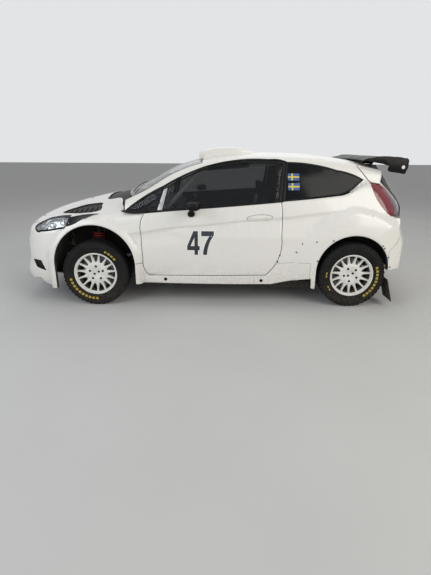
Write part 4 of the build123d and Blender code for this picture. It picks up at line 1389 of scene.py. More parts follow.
def make_front_bumper():
    lamp = grown(trace(HEADLIGHT, 10), 4)
    start = min(range(len(lamp)), key=lambda k: math.dist(lamp[k], (-1414, 752)))
    round_lamp = lamp[start:] + lamp[:start]
    if round_lamp[3][0] > round_lamp[0][0]:
        round_lamp = round_lamp[::-1]
    under_lamp = []
    for p in round_lamp:
        if p[0] > -1655 and p[1] > 780:
            break
        under_lamp.append(p)
    joint = dense_line([(-1381, 712), (-1384, 720), (-1399, 742)], 10, False)
    foot = dense_line([(-1385, 178), (-1537, 178), (-1633, 171), (-1672, 190), (-1701, 222),
                       (-1724, 258), (-1800, 240), (-1880, 214)], 14, False)
    foot_left = round_nose(foot)
    shut = [p for p in grown(bonnet_plan_line(), 6) if p[1] < -470 and p[0] < -1655]
    q, _ = ON_BONNET(np.array(shut))
    shut_left = sorted([(u, max(z, 744.0)) for u, z in places_round_nose(q)])
    middle_top = round_nose_front([(y, 744) for y in np.linspace(-462, 0, 24)])
    foot_middle = [(u, 204.0) for u in np.linspace(foot_left[-1][0] + 12, 0, 16)]
    lower = foot_middle[::-1] + foot_left[::-1]
    left = lower + round_nose(joint) + round_nose(under_lamp) + shut_left + middle_top
    right = mirrored(reversed(left))
    outline = dense_line(left + right[1:-1], 16)
    low_grille = round_nose_front(trace(GRILLE_FRONT, 14))
    high_grille = round_nose_front(trace(UPPER_GRILLE, 14))
    pocket = round_nose(trace(FOG_POCKET, 10))
    arch_cut_line = [p for p in arch_line(FRONT_FLARE) if p[0] < -1180 and p[1] > 60]
    arch_uv = round_nose(arch_cut_line) + [(-1700.0, 900.0), (-1700.0, 60.0)]
    cut = [low_grille, high_grille, pocket, mirrored(pocket), arch_uv, mirrored(arch_uv)]
    x, z, lip = FRONT_FLARE[:3]
    guides = []
    for d in (1.5, 5, 11, 22, 34, 46, 58):
        guides.append(round_nose([p for p in ring_line(x, z, lip + d, 13, 100, 176) if p[0] < -1385]))
    guides += [mirrored(g) for g in guides]
    guides += [[(u, z) for u in np.linspace(-430, 430, 50)] for z in (741, 737, 731, 722, 712)]
    skin = panel("front_bumper_skin", ON_NOSE, [outline], cut, wall=30, edge=2.6, step=26,
                 guides=kept_guides(guides, [outline], cut), outside="white_paint",
                 inside="textured_black_plastic")
    done(skin, "body_shell", ["front_bumper"])
    trays = []
    for side in (-1, 1):
        line = pocket if side < 0 else mirrored(pocket)
        trays.append(panel("fog_tray", ON_NOSE, [grown(line, 2)], sink=16, wall=8, edge=0, step=24,
                           outside="satin_black_trim"))
    tray = join_meshes("bumper_pockets", trays)
    done(tray, "body_shell", [])


def make_rear_bumper():
    side_line = trace([(1672, 378), (1672, 560), (1744, 638), (1766, 700), (1790, 780, 1788, 858)], 12,
                      False)
    left_side = round_tail(side_line)
    top = round_tail([(1800, 862)])
    gate = round_tail_back([(-600, 858), (-594, 830), (-592, 706)])
    gate_low = round_tail_back([(y, 704) for y in np.linspace(-570, 0, 24)])
    foot = round_tail(dense_line([(1840, 352), (1780, 384), (1672, 378)], 14, False))
    foot_middle = [(u, 348.0) for u in np.linspace(0, foot[0][0], 26)][:-1]
    left_half = foot_middle + foot[1:] + left_side[1:] + top + gate + gate_low
    right_half = mirrored(reversed(left_half))[1:-1]
    outline = dense_line(left_half + right_half, 16)
    arch_cut_line = [p for p in arch_line(REAR_FLARE) if p[0] > 1370 and p[1] > 60]
    arch_uv = round_tail(arch_cut_line)
    arch_uv = [(-1500.0, arch_uv[0][1])] + arch_uv + [(-1500.0, 60.0)]
    cut = [arch_uv, mirrored(arch_uv)]
    x, z, lip = REAR_FLARE[:3]
    guides = []
    for d in (1.5, 5, 11, 24, 45, 70, 100, 130, 160):
        guides.append(round_tail([p for p in ring_line(x, z, lip + d, 13, 2, 70) if p[0] > 1560]))
    guides += [mirrored(g) for g in guides]
    skin = panel("rear_bumper_skin", ON_TAIL, [outline], cut, wall=34, edge=2.6, step=26,
                 guides=kept_guides(guides, [outline], cut), outside="white_paint",
                 inside="textured_black_plastic")
    done(skin, "body_shell", ["rear_bumper"])


def make_tailgate():
    gate = panel("gate", ON_GATE, [trace(TAILGATE_REAR, 14)], [trace(REAR_GLASS, 14)], wall=42, edge=2.4,
                 step=30, outside="white_paint", inside="cabin_paint")
    roof_outline, rail_guides = under_roof_line()
    side_keep = [trace([(1392, 1500), (1368, 1327), (1490, 1184), (1586, 1170), (1606, 1249), (1616, 1500)],
                       12), roof_outline]
    ear = flank_panel("ear", side_keep, [], 38, rail_guides, "white_paint", lift=ON_CABIN, step=22)
    other = copied_across(ear, "ear_other")
    top_line = dense_line([(1395, -(roof_edge(1395) - 1)), (1614, -(roof_edge(1614) - 1)), (1626, -300),
                           (1630, 0), (1626, 300),
                           (1614, roof_edge(1614) - 1), (1395, roof_edge(1395) - 1)], 18)
    top = panel("spoiler_top", ON_ROOF, [top_line], wall=30, edge=2.4, step=26, outside="white_paint")
    whole = join_meshes("tailgate_skin", [gate, ear, other, top])
    pane = panel("rear_window", ON_GATE, [trace(REAR_GLASS, 14)], sink=8, wall=5, edge=0.6, step=40,
                 outside="dark_quarter_glass")
    done(whole, "tailgate", ["tailgate"])
    done(pane, "tailgate", ["tailgate_glass"])


def make_windscreen():
    x = np.linspace(-776, -121, 40)
    y = roof_edge(x) - 4
    foot = arc_between((-780.0, 697.0), (-902.0, 0.0), (-780.0, -697.0), 24)
    head = [(-121.0, v) for v in np.linspace(-620, 620, 40)]
    points = list(zip(x, -y)) + head + list(zip(x[::-1], y[::-1])) + [(-780.0, 697.0)] + foot
    outline = [points[0]]
    for p in points[1:]:
        if math.dist(p, outline[-1]) > 4:
            outline.append(p)
    inner = grown(outline, -42)
    pane = panel("windscreen_pane", ON_ROOF, [outline], sink=4, wall=6, edge=0.8, step=40,
                 outside="windscreen_glass")
    border = panel("windscreen_border", ON_ROOF, [grown(outline, -1)], [inner], sink=10.5, wall=1.5, edge=0,
                   step=30, outside="satin_black_trim")
    done(pane, "body_shell", ["windscreen"])
    done(border, "body_shell", [])


def bolt_group(points, heads, across_flats, height, name):
    """Hexagon bolt heads with washers set on a run of points by Geometry Nodes, as one plain mesh."""
    mesh = bpy.data.meshes.new(name + "_points")
    mesh.from_pydata([tuple(c * MM for c in p) for p, _ in points], [], [])
    attribute = mesh.attributes.new("way_out", "FLOAT_VECTOR", "POINT")
    for i, (_, way) in enumerate(points):
        attribute.data[i].vector = way
    obj = bpy.data.objects.new(name, mesh)
    bpy.context.scene.collection.objects.link(obj)
    tree, source = node_tree(name, {"Across flats": "NodeSocketFloat", "Head height": "NodeSocketFloat"})
    radius = add(tree, "ShaderNodeMath", {0: source.outputs["Across flats"], 1: 0.577},
                 operation="MULTIPLY")
    head = add(tree, "GeometryNodeMeshCylinder", {"Vertices": 6, "Radius": radius.outputs[0],
                                                  "Depth": source.outputs["Head height"]})
    rim = add(tree, "ShaderNodeMath", {0: source.outputs["Across flats"], 1: 0.82}, operation="MULTIPLY")
    thin = add(tree, "ShaderNodeMath", {0: source.outputs["Head height"], 1: 0.35}, operation="MULTIPLY")
    washer = add(tree, "GeometryNodeMeshCylinder", {"Vertices": 14, "Radius": rim.outputs[0],
                                                    "Depth": thin.outputs[0]})
    both = tree.nodes.new("GeometryNodeJoinGeometry")
    tree.links.new(washer.outputs["Mesh"], both.inputs[0])
    tree.links.new(head.outputs["Mesh"], both.inputs[0])
    way = add(tree, "GeometryNodeInputNamedAttribute", {"Name": "way_out"}, data_type="FLOAT_VECTOR")
    turn = add(tree, "FunctionNodeAlignRotationToVector", {"Vector": way.outputs["Attribute"]}, axis="Z")
    place = add(tree, "GeometryNodeInstanceOnPoints", {"Points": source.outputs["Geometry"],
                                                       "Instance": both.outputs[0],
                                                       "Rotation": turn.outputs[0]})
    values = {"Across flats": across_flats * MM, "Head height": height * MM}
    return run_tree(obj, tree, place.outputs[0], heads, values)


def node_tree(name, inputs):
    """A Geometry Nodes tree with its named inputs, and the node that gives them."""
    tree = bpy.data.node_groups.new(name + "_nodes", "GeometryNodeTree")
    tree.interface.new_socket("Geometry", in_out="INPUT", socket_type="NodeSocketGeometry")
    for label, kind in inputs.items():
        tree.interface.new_socket(label, in_out="INPUT", socket_type=kind)
    tree.interface.new_socket("Geometry", in_out="OUTPUT", socket_type="NodeSocketGeometry")
    return tree, tree.nodes.new("NodeGroupInput")


def run_tree(obj, tree, instances, finish_name, values):
    """The instances made real, given their finish and baked to a plain mesh."""
    real = add(tree, "GeometryNodeRealizeInstances", {"Geometry": instances})
    paint = add(tree, "GeometryNodeSetMaterial",
                {"Geometry": real.outputs[0], "Material": look(finish_name)})
    result = tree.nodes.new("NodeGroupOutput")
    tree.links.new(paint.outputs[0], result.inputs[0])
    modifier = obj.modifiers.new("repeat", "NODES")
    modifier.node_group = tree
    for socket in tree.interface.items_tree:
        if socket.name in values:
            modifier[socket.identifier] = values[socket.name]
    return baked(obj, obj.name, [finish_name])


def repeated_round(name, form, count, start, centre, finish_name):
    """One form set round the Y axis a number of times by Geometry Nodes, as one plain mesh."""
    one = new_object(name, *form, [finish_name])
    tree, source = node_tree(name, {"Count": "NodeSocketInt", "Start angle": "NodeSocketFloat",
                                    "Centre": "NodeSocketVector"})
    share = add(tree, "ShaderNodeMath", {0: 2 * math.pi, 1: source.outputs["Count"]}, operation="DIVIDE")
    index = tree.nodes.new("GeometryNodeInputIndex")
    angle = add(tree, "ShaderNodeMath", {0: index.outputs[0], 1: share.outputs[0],
                                         2: source.outputs["Start angle"]}, operation="MULTIPLY_ADD")
    turn = add(tree, "ShaderNodeCombineXYZ", {"Y": angle.outputs[0]})
    points = add(tree, "GeometryNodePoints", {"Count": source.outputs["Count"],
                                              "Position": source.outputs["Centre"]})
    ring = add(tree, "GeometryNodeInstanceOnPoints", {"Points": points.outputs[0],
                                                      "Instance": source.outputs["Geometry"],
                                                      "Rotation": turn.outputs[0]})
    values = {"Count": count, "Start angle": start, "Centre": [c * MM for c in centre]}
    return run_tree(one, tree, ring.outputs[0], finish_name, values)


def baked(obj, name, finishes):
    """The evaluated mesh of an object, as a plain piece without its modifiers."""
    graph = bpy.context.evaluated_depsgraph_get()
    mesh = bpy.data.meshes.new_from_object(obj.evaluated_get(graph))
    bpy.data.objects.remove(obj)
    mesh.name = name
    piece = bpy.data.objects.new(name, mesh)
    bpy.context.scene.collection.objects.link(piece)
    mesh.materials.clear()
    for finish_name in finishes:
        mesh.materials.append(look(finish_name))
    return piece


def on_surface(lift, u, v, out=0.0):
    """A point on a surface with the way out of it, from its own three-point slope."""
    p, way = lift(np.array([(u, v), (u + 3, v), (u, v + 3)]))
    normal = np.cross(p[1] - p[0], p[2] - p[0])
    normal /= np.linalg.norm(normal) + 1e-9
    if (normal * way[0]).sum() > 0:
        normal = -normal
    return tuple(p[0] + normal * out), tuple(normal)


# x, z of the bolts round the rear flare
REAR_BOLTS = ((842, 629), (970, 653), (1124, 668), (790, 547), (632, 517), (614, 453), (990, 471),
              (1595, 620), (1616, 597), (1670, 506), (1700, 407))


def make_fasteners():
    side = []
    for x, z in REAR_BOLTS:
        lift = ON_CORNER if x > 1668 else ON_FLANK
        side.append(on_surface(lift, x, z, 0.8))
    side.append(on_surface(ON_WING, -696, 377 + 70, 0.8))
    other_side = [((p[0], -p[1], p[2]), (w[0], -w[1], w[2])) for p, w in side]
    bolts = bolt_group(side + other_side, "satin_black_trim", 9.0, 3.2, "flare_bolts")
    done(bolts, "body_shell", [])
    pins = []
    for x, y in ((-1332, -130), (-1332, 130), (-1752, -440), (-1752, 440)):
        pins.append(on_surface(ON_BONNET, x, y, 1.5))
    heads = bolt_group(pins, "brushed_steel", 15.0, 5.0, "bonnet_pins")
    done(heads, "bonnet", [])


def make_lamps():
    lamp = grown(trace(HEADLIGHT, 10), -2)
    u_line = round_nose(lamp)
    lens = panel("head_lens", ON_NOSE, [u_line], sink=2, wall=3, edge=0.8, step=24,
                 outside="lamp_clear_lens")
    bezel_out = panel("head_bezel", ON_NOSE, [grown(u_line, -0.5)], [grown(u_line, -11)], sink=0.4, wall=9,
                      edge=1, step=20, outside="satin_black_trim")
    back = panel("head_back", ON_NOSE, [grown(u_line, -1)], sink=46, wall=4, edge=0, step=24,
                 outside="reflector_chrome", inside="lamp_bezel")
    forms = []
    for x, z, radius in ((-1560, 786, 33), (-1452, 812, 33), (-1650, 760, 22)):
        p, _ = on_surface(ON_WING, x, z, 0)
        profile = [(radius, -4), (radius * 0.96, 3), (radius * 0.7, 22), (radius * 0.3, 32), (0.1, 34)]
        turn = math.atan2(-p[1], FRONT_HUB_X - p[0])
        place = Matrix.Translation((p[0] + 16 * math.cos(turn * 0.5), p[1] + 16, p[2] - 2))
        m = place @ Matrix.Rotation(-math.radians(34), 4, "Z")
        forms.append(moved_form(lathe(profile, around=28, closed=False), m))
    bowls = new_object("head_bowls", *joined_form(forms), ["reflector_chrome"])
    # a black sheet sunk in the gap behind the lamp: painted shade of that gap
    band = flank_panel("band", [grown(trace(LAMP_GAP_SHADE, 10), 3)], [], 5, [], "satin_black_trim",
                       lift=ON_WING, sink=5, edge=0, step=14)
    left_in = join_meshes("left_headlight_inside", [bezel_out, back, bowls, band])
    done(both_sides("headlight_units", left_in), "body_shell", ["headlights"])
    done(both_sides("headlight_lenses", lens), "body_shell", [])
    tail = grown(trace(TAIL_LIGHT, 10), -2)
    t_line = round_tail(tail)
    split = round_tail(trace([(1640, 1200), (1660, 1060, 1700, 980), (1716, 930), (1722, 820),
                              (1900, 820), (1900, 1200)], 12))
    red = panel("tail_red", ON_TAIL, [t_line], sink=1.0, wall=6, edge=1.6, step=22, outside="red_lens")
    inner = panel("tail_inner", ON_TAIL, [grown(t_line, -14)], sink=0.2, wall=2, edge=0.6, step=20,
                  outside="red_lens")
    smoke = panel("tail_smoke", ON_TAIL, [grown(t_line, -7), split], sink=-0.4, wall=2, edge=0.6, step=20,
                  outside="smoked_lens")
    box = panel("tail_box", ON_TAIL, [grown(t_line, -1)], sink=12, wall=20, edge=0, step=24,
                outside="lamp_bezel")
    left = join_meshes("left_tail", [red, inner, smoke, box])
    done(both_sides("tail_light_units", left), "body_shell", ["tail_lights"])
    # the painted post between each lamp and the tailgate, a step below the skin
    lamp_side = round_tail(dense_line([(1690, 620), (1704, 780), (1690, 900), (1640, 1000), (1596, 1120),
                                       (1590, 1160)], 16, False))
    gate_side = round_tail_back([(-568, 1192), (-582, 1060), (-592, 960), (-604, 830), (-602, 640)])
    post = panel("left_tail_post", ON_TAIL, [dense_line(lamp_side + gate_side, 16)], sink=7, wall=5, edge=0,
                 step=22, outside="white_paint")
    done(both_sides("tail_posts", post), "body_shell", [])


def swept_ring(sections):
    """A closed skin over rings of equal length with flat ends."""
    n = len(sections[0])
    verts = [p for ring in sections for p in ring]
    faces = []
    for i in range(len(sections) - 1):
        for k in range(n):
            m = (k + 1) % n
            faces.append((i * n + k, i * n + m, (i + 1) * n + m, (i + 1) * n + k))
    faces.append(tuple(range(n)))
    faces.append(tuple((len(sections) - 1) * n + k for k in range(n)))
    return outward(verts, faces)


def oval(cx, cz, rx, rz, y, n=36, power=2.4, tilt=0.0):
    """A rounded ring in the side view at one distance out."""
    ring = []
    for k in range(n):
        a = 2 * math.pi * k / n
        c, s = math.cos(a), math.sin(a)
        dx = rx * math.copysign(abs(c) ** (2 / power), c)
        dz = rz * math.copysign(abs(s) ** (2 / power), s)
        ring.append((cx + dx * math.cos(tilt) - dz * math.sin(tilt), y,
                     cz + dx * math.sin(tilt) + dz * math.cos(tilt)))
    return ring


def make_mirrors():
    # y, x of the middle, z of the middle, half length, half height
    rows = [(-884, -182, 988, 30, 22), (-890, -183, 989, 46, 32), (-904, -184, 990, 58, 38),
            (-940, -184, 990, 64, 40), (-985, -184, 990, 63, 39), (-1016, -184, 989, 57, 36),
            (-1032, -184, 988, 46, 30), (-1039, -184, 988, 30, 20)]
    head = swept_ring([oval(x, z, rx, rz, y, power=3.0) for y, x, z, rx, rz in rows])
    foot = swept_ring([oval(-212, 902, 34, 30, -846), oval(-212, 904, 34, 29, -858),
                       oval(-208, 908, 28, 24, -866), oval(-204, 930, 15, 14, -876),
                       oval(-196, 956, 14, 13, -888), oval(-190, 972, 16, 13, -902)])
    glass_ring = []
    for x, ry, rz in ((-119.6, 66, 33), (-119.2, 67, 34)):
        glass_ring.append([(x, -962 + ry * math.copysign(abs(math.cos(a)) ** 0.8, math.cos(a)),
                            990 + rz * math.copysign(abs(math.sin(a)) ** 0.8, math.sin(a)))
                           for a in [2 * math.pi * k / 32 for k in range(32)]])
    face = swept_ring(glass_ring)
    body = new_object("mirror_case", *joined_form([head, foot]), ["satin_black_trim"])
    mirror = new_object("mirror_face", *face, ["reflector_chrome"])
    done_both_sides(join_meshes("left_door_mirror", [body, mirror]), "left_door", ["left_mirror"])


def handle_oval(x, z, half_long, half_high):
    """An oval in the side view that leans with the waistline."""
    return [(x + half_long * math.cos(a), z + half_high * math.sin(a) + 0.05 * half_long * math.cos(a))
            for a in np.linspace(0, 2 * math.pi, 44, endpoint=False)]


def make_handles():
    outline = handle_oval(429, 867, 124, 33)
    # a grey ring round the handle plate: painted shade of the handle's recess
    well = panel("well", ON_FLANK, [outline], sink=-0.5, wall=2.0, edge=0.8, step=16, outside="joint_grey_and_recess_shade")
    plate = panel("plate", ON_FLANK, [grown(outline, -4)], sink=-3.2, wall=3.0, edge=2.4, step=12,
                  outside="white_paint")
    grip_line = handle_oval(429, 876, 110, 15)
    grip = panel("grip", ON_FLANK, [grip_line], sink=-10.0, wall=8.0, edge=4.5, step=12,
                 outside="white_paint")
    done_both_sides(join_meshes("left_door_handle", [well, plate, grip]), "left_door", [])


def make_rear_wing():
    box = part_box("rear_wing")
    half = box[1][1] / MM
    plate_line = trace([(1440, 1380), (1483, 1399), (1547, 1418), (1620, 1421, 1708, 1416),
                        (1762, 1414, 1808, 1404), (1846, 1392, 1849, 1360), (1846, 1310, 1834, 1282),
                        (1828, 1262, 1806, 1262), (1690, 1278), (1664, 1290, 1672, 1330),
                        (1600, 1352, 1560, 1358)], 12)
    forms = []
    for side in (-1, 1):
        inset = grown(plate_line, -2)
        rings = [[(x, side * (half - 12), z) for x, z in inset],
                 [(x, side * (half - 10.5), z) for x, z in plate_line],
                 [(x, side * (half - 1.5), z) for x, z in plate_line],
                 [(x, side * half, z) for x, z in inset]]
        forms.append(swept_ring(rings))
    plates = new_object("wing_plates", *joined_form(forms), ["satin_black_trim"])
    section = trace([(1420, 1382), (1440, 1394, 1480, 1401), (1560, 1412, 1700, 1408),
                     (1760, 1403, 1802, 1397), (1800, 1390), (1700, 1388, 1600, 1379),
                     (1500, 1375, 1428, 1376)], 9)
    rings = [[(x, y, z + 5 * (1 - (y / 590) ** 2)) for x, z in section]
             for y in np.linspace(-(half - 13), half - 13, 19)]
    blade = new_object("wing_blade", *swept_ring(rings), ["satin_black_trim"])
    flap = trace([(1760, 1392), (1800, 1396, 1838, 1404), (1841, 1399), (1802, 1388, 1762, 1386)], 8)
    rings = [[(x - 6, y, z) for x, z in flap] for y in np.linspace(-(half - 13), half - 13, 9)]
    lip = new_object("wing_lip", *swept_ring(rings), ["satin_black_trim"])
    stays = []
    for y in (-330, 322):
        stay = trace([(1500, 1352), (1600, 1338), (1640, 1388), (1590, 1380), (1520, 1388)], 10)
        stays.append(swept_ring([[(x, y, z) for x, z in grown(stay, -1.5)],
                                 [(x, y + 1.5, z) for x, z in stay],
                                 [(x, y + 6.5, z) for x, z in stay],
                                 [(x, y + 8, z) for x, z in grown(stay, -1.5)]]))
    brackets = new_object("wing_stays", *joined_form(stays), ["satin_black_trim"])
    wing = join_meshes("rear_wing_assembly", [plates, blade, lip, brackets])
    done(wing, "tailgate", ["rear_wing"])
    points = [((1803, side * (half + 0.6), 1322), (0, side, 0)) for side in (-1, 1)]
    bolts = bolt_group(points, "white_paint", 20.0, 1.1, "wing_plate_bolts")
    done(bolts, "tailgate", [])


def rim_sector(windows):
    """One sector of the wheel's face with its window, repeated round the axle by Geometry Nodes."""
    half = math.pi / windows
    # radius, and the opening's share of the sector there
    openings = {186: 0.74, 180: 0.80, 160: 0.75, 140: 0.66, 124: 0.53, 114: 0.34}
    ring_r = [97, 106, 114, 124, 140, 160, 180, 186, 194]
    verts, faces = [], []
    steps = 9

    def point(r, a, lift):
        return (r * math.cos(a), lift, r * math.sin(a))

    def face_height(r):
        if r < 106:
            return 66 - (r - 97) * 0.3
        if r < 186:
            return 63 + 14 * ((r - 106) / 80) ** 1.5
        return 78

    # spoke half, one side of the window: columns from the window's edge to the sector's edge
    for s in (-1, 1):
        rows = []
        for r in ring_r:
            inner_angle = openings.get(r, 0.0) * half
            row = []
            for k in range(steps):
                t = k / (steps - 1)
                a = s * (inner_angle + (half - inner_angle) * t)
                round_off = 0.0
                if r in openings:
                    d = r * (half - inner_angle) * t
                    round_off = -9 * max(0.0, 1 - d / 7.0) ** 2
                row.append(point(r, a, face_height(r) + round_off))
            rows.append(row)
        base = len(verts)
        for row in rows:
            verts += row
        for i in range(len(rows) - 1):
            for k in range(steps - 1):
                a, b = base + i * steps + k, base + (i + 1) * steps + k
                q = (a, a + 1, b + 1, b)
                faces.append(q if s > 0 else q[::-1])
        # wall of the window, going in
        deep = len(verts)
        inside = [i for i, r in enumerate(ring_r) if r in openings]
        for i in inside:
            x, y, z = rows[i][0]
            verts.append((x, y - 22, z))
        for place, (i, j) in enumerate(zip(inside, inside[1:])):
            q = (base + i * steps, base + j * steps, deep + place + 1, deep + place)
            faces.append(q if s > 0 else q[::-1])
    return verts, faces


AXLES = (("front", -1150.0), ("rear", 1340.0))
AXLE_HEIGHT = 320.0
WHEEL_OUT = 778.0
# Turned parts: distance from the axle, place outwards
RIM_FLANGE = [(178, -97), (206, -97), (207.6, -94), (207.6, -90), (192, -80), (186, -60), (181, 20),
              (186, 60), (191, 78), (206, 90), (207.8, 93), (207.6, 97), (204, 97.6), (197, 95),
              (191, 84), (186, 79.5), (184.5, 72), (178, 40), (173, 20), (176, -60), (178, -90)]
WHEEL_FACE = [(0.5, 56), (20, 57), (36, 60), (44, 66), (80, 66.5), (94, 66.4), (97.2, 65.8), (97.2, 52),
              (60, 38), (0.5, 38)]
BRAKE_DISC = [(60, -24), (150, -24), (150, -17), (150, -11), (150, -4), (60, -4), (60, 30), (56, 30),
              (56, -24)]
WHEEL_NUT = [(12, 66.6), (12, 52), (0.4, 52), (0.4, 67.0), (11.2, 67.0)]
# a black disc that stands for a hole in the wheel's centre: painted shade
HUB_HOLE = [(11, 60.2), (11, 52), (0.4, 52), (0.4, 59.8), (9, 60)]


def wheel_place(x, side):
    """From a form turned about the Y axis to a wheel's place on the car."""
    return Matrix.Translation((x, side * WHEEL_OUT, AXLE_HEIGHT)) @ Matrix.Diagonal((1, side, 1, 1))


def make_wheels():
    windows = bpy.context.scene.rally_wheels.windows
    sector_v, sector_f = rim_sector(windows)
    for end, x in AXLES:
        for hand, side in SIDES:
            shift = wheel_place(x, side)
            turned_form = moved_form(joined_form([lathe(RIM_FLANGE, 90), lathe(WHEEL_FACE, 75)]), shift)
            turned = new_object("turned", *outward(*turned_form), ["wheel_paint", "brake_dust"])
            # the barrel faces inside the rim take the dark barrel finish, which is painted shade with some
            # brake dust
            for polygon in turned.data.polygons:
                centre = polygon.center / MM
                from_axle = math.hypot(centre.x - x, centre.z - AXLE_HEIGHT)
                if 120 < from_axle < 185.5 and side * centre.y - WHEEL_OUT < 72:
                    polygon.material_index = 1
            handed = [(px, side * py, pz) for px, py, pz in sector_v]
            facing_out = sector_f if side < 0 else [f[::-1] for f in sector_f]
            spokes = repeated_round("spokes", (handed, facing_out), windows, math.radians(6),
                                    (x, side * WHEEL_OUT, AXLE_HEIGHT), "wheel_paint")
            merge_close(spokes)
            first_nut = 90 if end == "front" else 118
            nuts = [(WHEEL_NUT, 66, first_nut + 72 * k) for k in range(5)]
            # the centre holes are black discs on the face: painted shade of the holes
            holes = [(HUB_HOLE, 25, 28), (HUB_HOLE, 25, 208)]
            details = []
            for profile, radius, degrees in nuts + holes:
                a = math.radians(degrees)
                details.append(lathe(profile, 18, centre=(radius * math.cos(a), 0, radius * math.sin(a))))
            dark = new_object("black_nuts_and_painted_hole_shade", *outward(*moved_form(joined_form(details), shift)),
                              ["satin_black_trim"])
            disc = new_object("disc", *outward(*moved_form(lathe(BRAKE_DISC, 64), shift)),
                              ["brushed_steel"])
            wheel = join_meshes(f"{end}_{hand}_alloy", [turned, spokes, dark, disc])
            done(wheel, f"{end}_{hand}_wheel", [f"{end}_{hand}_rim"])
            make_tyre(f"{end}_{hand}", x, side)


def merge_close(obj, distance=0.04 * MM):
    bm = bmesh.new()
    bm.from_mesh(obj.data)
    bmesh.ops.remove_doubles(bm, verts=bm.verts, dist=distance)
    bm.to_mesh(obj.data)
    bm.free()


TYRE_CARCASS = [(209, -92), (222, -99), (240, -103), (262, -105), (280, -104.5), (296, -101), (306, -95),
                (310, -88), (311.5, -60), (312, 0), (311.5, 60), (310, 88), (306, 95), (296, 101),
                (288, 103.4), (286, 102.4), (283, 104), (262, 105), (246, 103.6), (244, 102.2),
                (241, 103), (222, 99), (209, 92), (216, 84), (240, 90), (300, 60), (300, -60),
                (240, -90), (216, -84)]
# tread blocks: place across, half width, half length round the tyre, step offset, angle
TREAD_BLOCKS = [(-82, 15, 15, 0.0, 0), (-46, 15, 17, 0.5, 10), (-10, 14, 15, 0.15, -12),
                (26, 14, 17, 0.65, 12), (56, 12, 15, 0.3, -8), (86, 11, 14, 0.8, 0)]


def tread_step(turn):
    """The blocks of one step of the tread and the blocks on its shoulders, as vertices and faces."""
    verts, faces = [], []
    block = [(0, 1, 5, 4), (1, 2, 6, 5), (2, 3, 7, 6), (3, 0, 4, 7), (4, 5, 6, 7), (3, 2, 1, 0)]
    for place, half_w, half_l, offset, skew in TREAD_BLOCKS:
        s = math.radians(skew)
        base = len(verts)
        for level, grow in ((309.0, 1.0), (319.2, 0.9)):
            for du, dw in ((-1, -1), (1, -1), (1, 1), (-1, 1)):
                u, w = du * half_l * grow, dw * half_w * grow
                across = place + u * math.sin(s) + w * math.cos(s)
                r = level - (0.0 if abs(place) < 70 else 2.5 * max(0, (abs(across) - 80) / 18))
                a = turn * offset + (u * math.cos(s) - w * math.sin(s)) / 319.0
                verts.append((r * math.cos(a), across, r * math.sin(a)))
        faces += [[base + i for i in q] for q in block]
    block = [(0, 1, 3, 2), (2, 3, 5, 4), (0, 2, 4, 6), (1, 7, 5, 3), (0, 6, 7, 1), (6, 4, 5, 7)]
    for edge in (-1, 1):
        base = len(verts)
        for r, y in ((296, 101.5), (309, 96), (309, 84), (296, 94)):
            for d in (-0.45, 0.45):
                a = turn * (0.25 + 0.62 * d)
                verts.append(((r + 1.6) * math.cos(a), edge * (y + 1.4), (r + 1.6) * math.sin(a)))
        faces += [[base + i for i in q] for q in block]
    return verts, faces


def make_tyre(name, x, side):
    shift = wheel_place(x, side)
    carcass_form = outward(*moved_form(lathe(TYRE_CARCASS, 108), shift))
    carcass = new_object("carcass", *carcass_form, ["gravel_tyre_rubber"])
    pitch = bpy.context.scene.rally_wheels.tread_blocks
    verts, faces = tread_step(2 * math.pi / pitch)
    one = new_object("tread_step", [(px, side * py, pz) for px, py, pz in verts], faces,
                     ["gravel_tyre_rubber"])
    fix_normals(one)
    step = [v.co / MM for v in one.data.vertices], [list(f.vertices) for f in one.data.polygons]
    bpy.data.objects.remove(one)
    tread = repeated_round("tread", step, pitch, 0.0, (x, side * WHEEL_OUT, AXLE_HEIGHT),
                           "gravel_tyre_rubber")
    # plain raised dashes for the tyre's coloured moulding: first angle, step, count, inner and outer radius
    dashes = []
    if name.startswith("front"):
        rows = [(88, 8.4, 10, 238, 262), (-65, 8.2, 4, 236, 254)]
    else:
        rows = [(-22, 8.2, 10, 236, 258), (143, 7, 2, 240, 252), (176, 7, 2, 240, 252)]
    for start, gap, count, r0, r1 in rows:
        for k in range(count):
            a0 = math.radians(start + gap * k)
            a1 = a0 + math.radians(gap * 0.66)
            ring = []
            for r in (r0, r1):
                for a in (a0, (a0 + a1) / 2, a1):
                    for y in (100.5, 104.9):
                        ring.append((r * math.cos(a), y, -r * math.sin(a)))
            dashes.append((ring, [[1, 3, 9, 7], [3, 5, 11, 9], [0, 6, 8, 2], [2, 8, 10, 4], [0, 2, 3, 1],
                                  [2, 4, 5, 3], [6, 7, 9, 8], [8, 9, 11, 10],
                                  [0, 1, 7, 6], [4, 10, 11, 5]]))
    marks = new_object("dashes", *outward(*moved_form(joined_form(dashes), shift)), ["yellow_tyre_paint"])
    tyre = join_meshes(f"{name}_gravel_tyre", [carcass, tread, marks])
    done(tyre, f"{name}_wheel", [f"{name}_tyre"])


def fix_normals(obj):
    bm = bmesh.new()
    bm.from_mesh(obj.data)
    bmesh.ops.recalc_face_normals(bm, faces=bm.faces)
    bm.to_mesh(obj.data)
    bm.free()


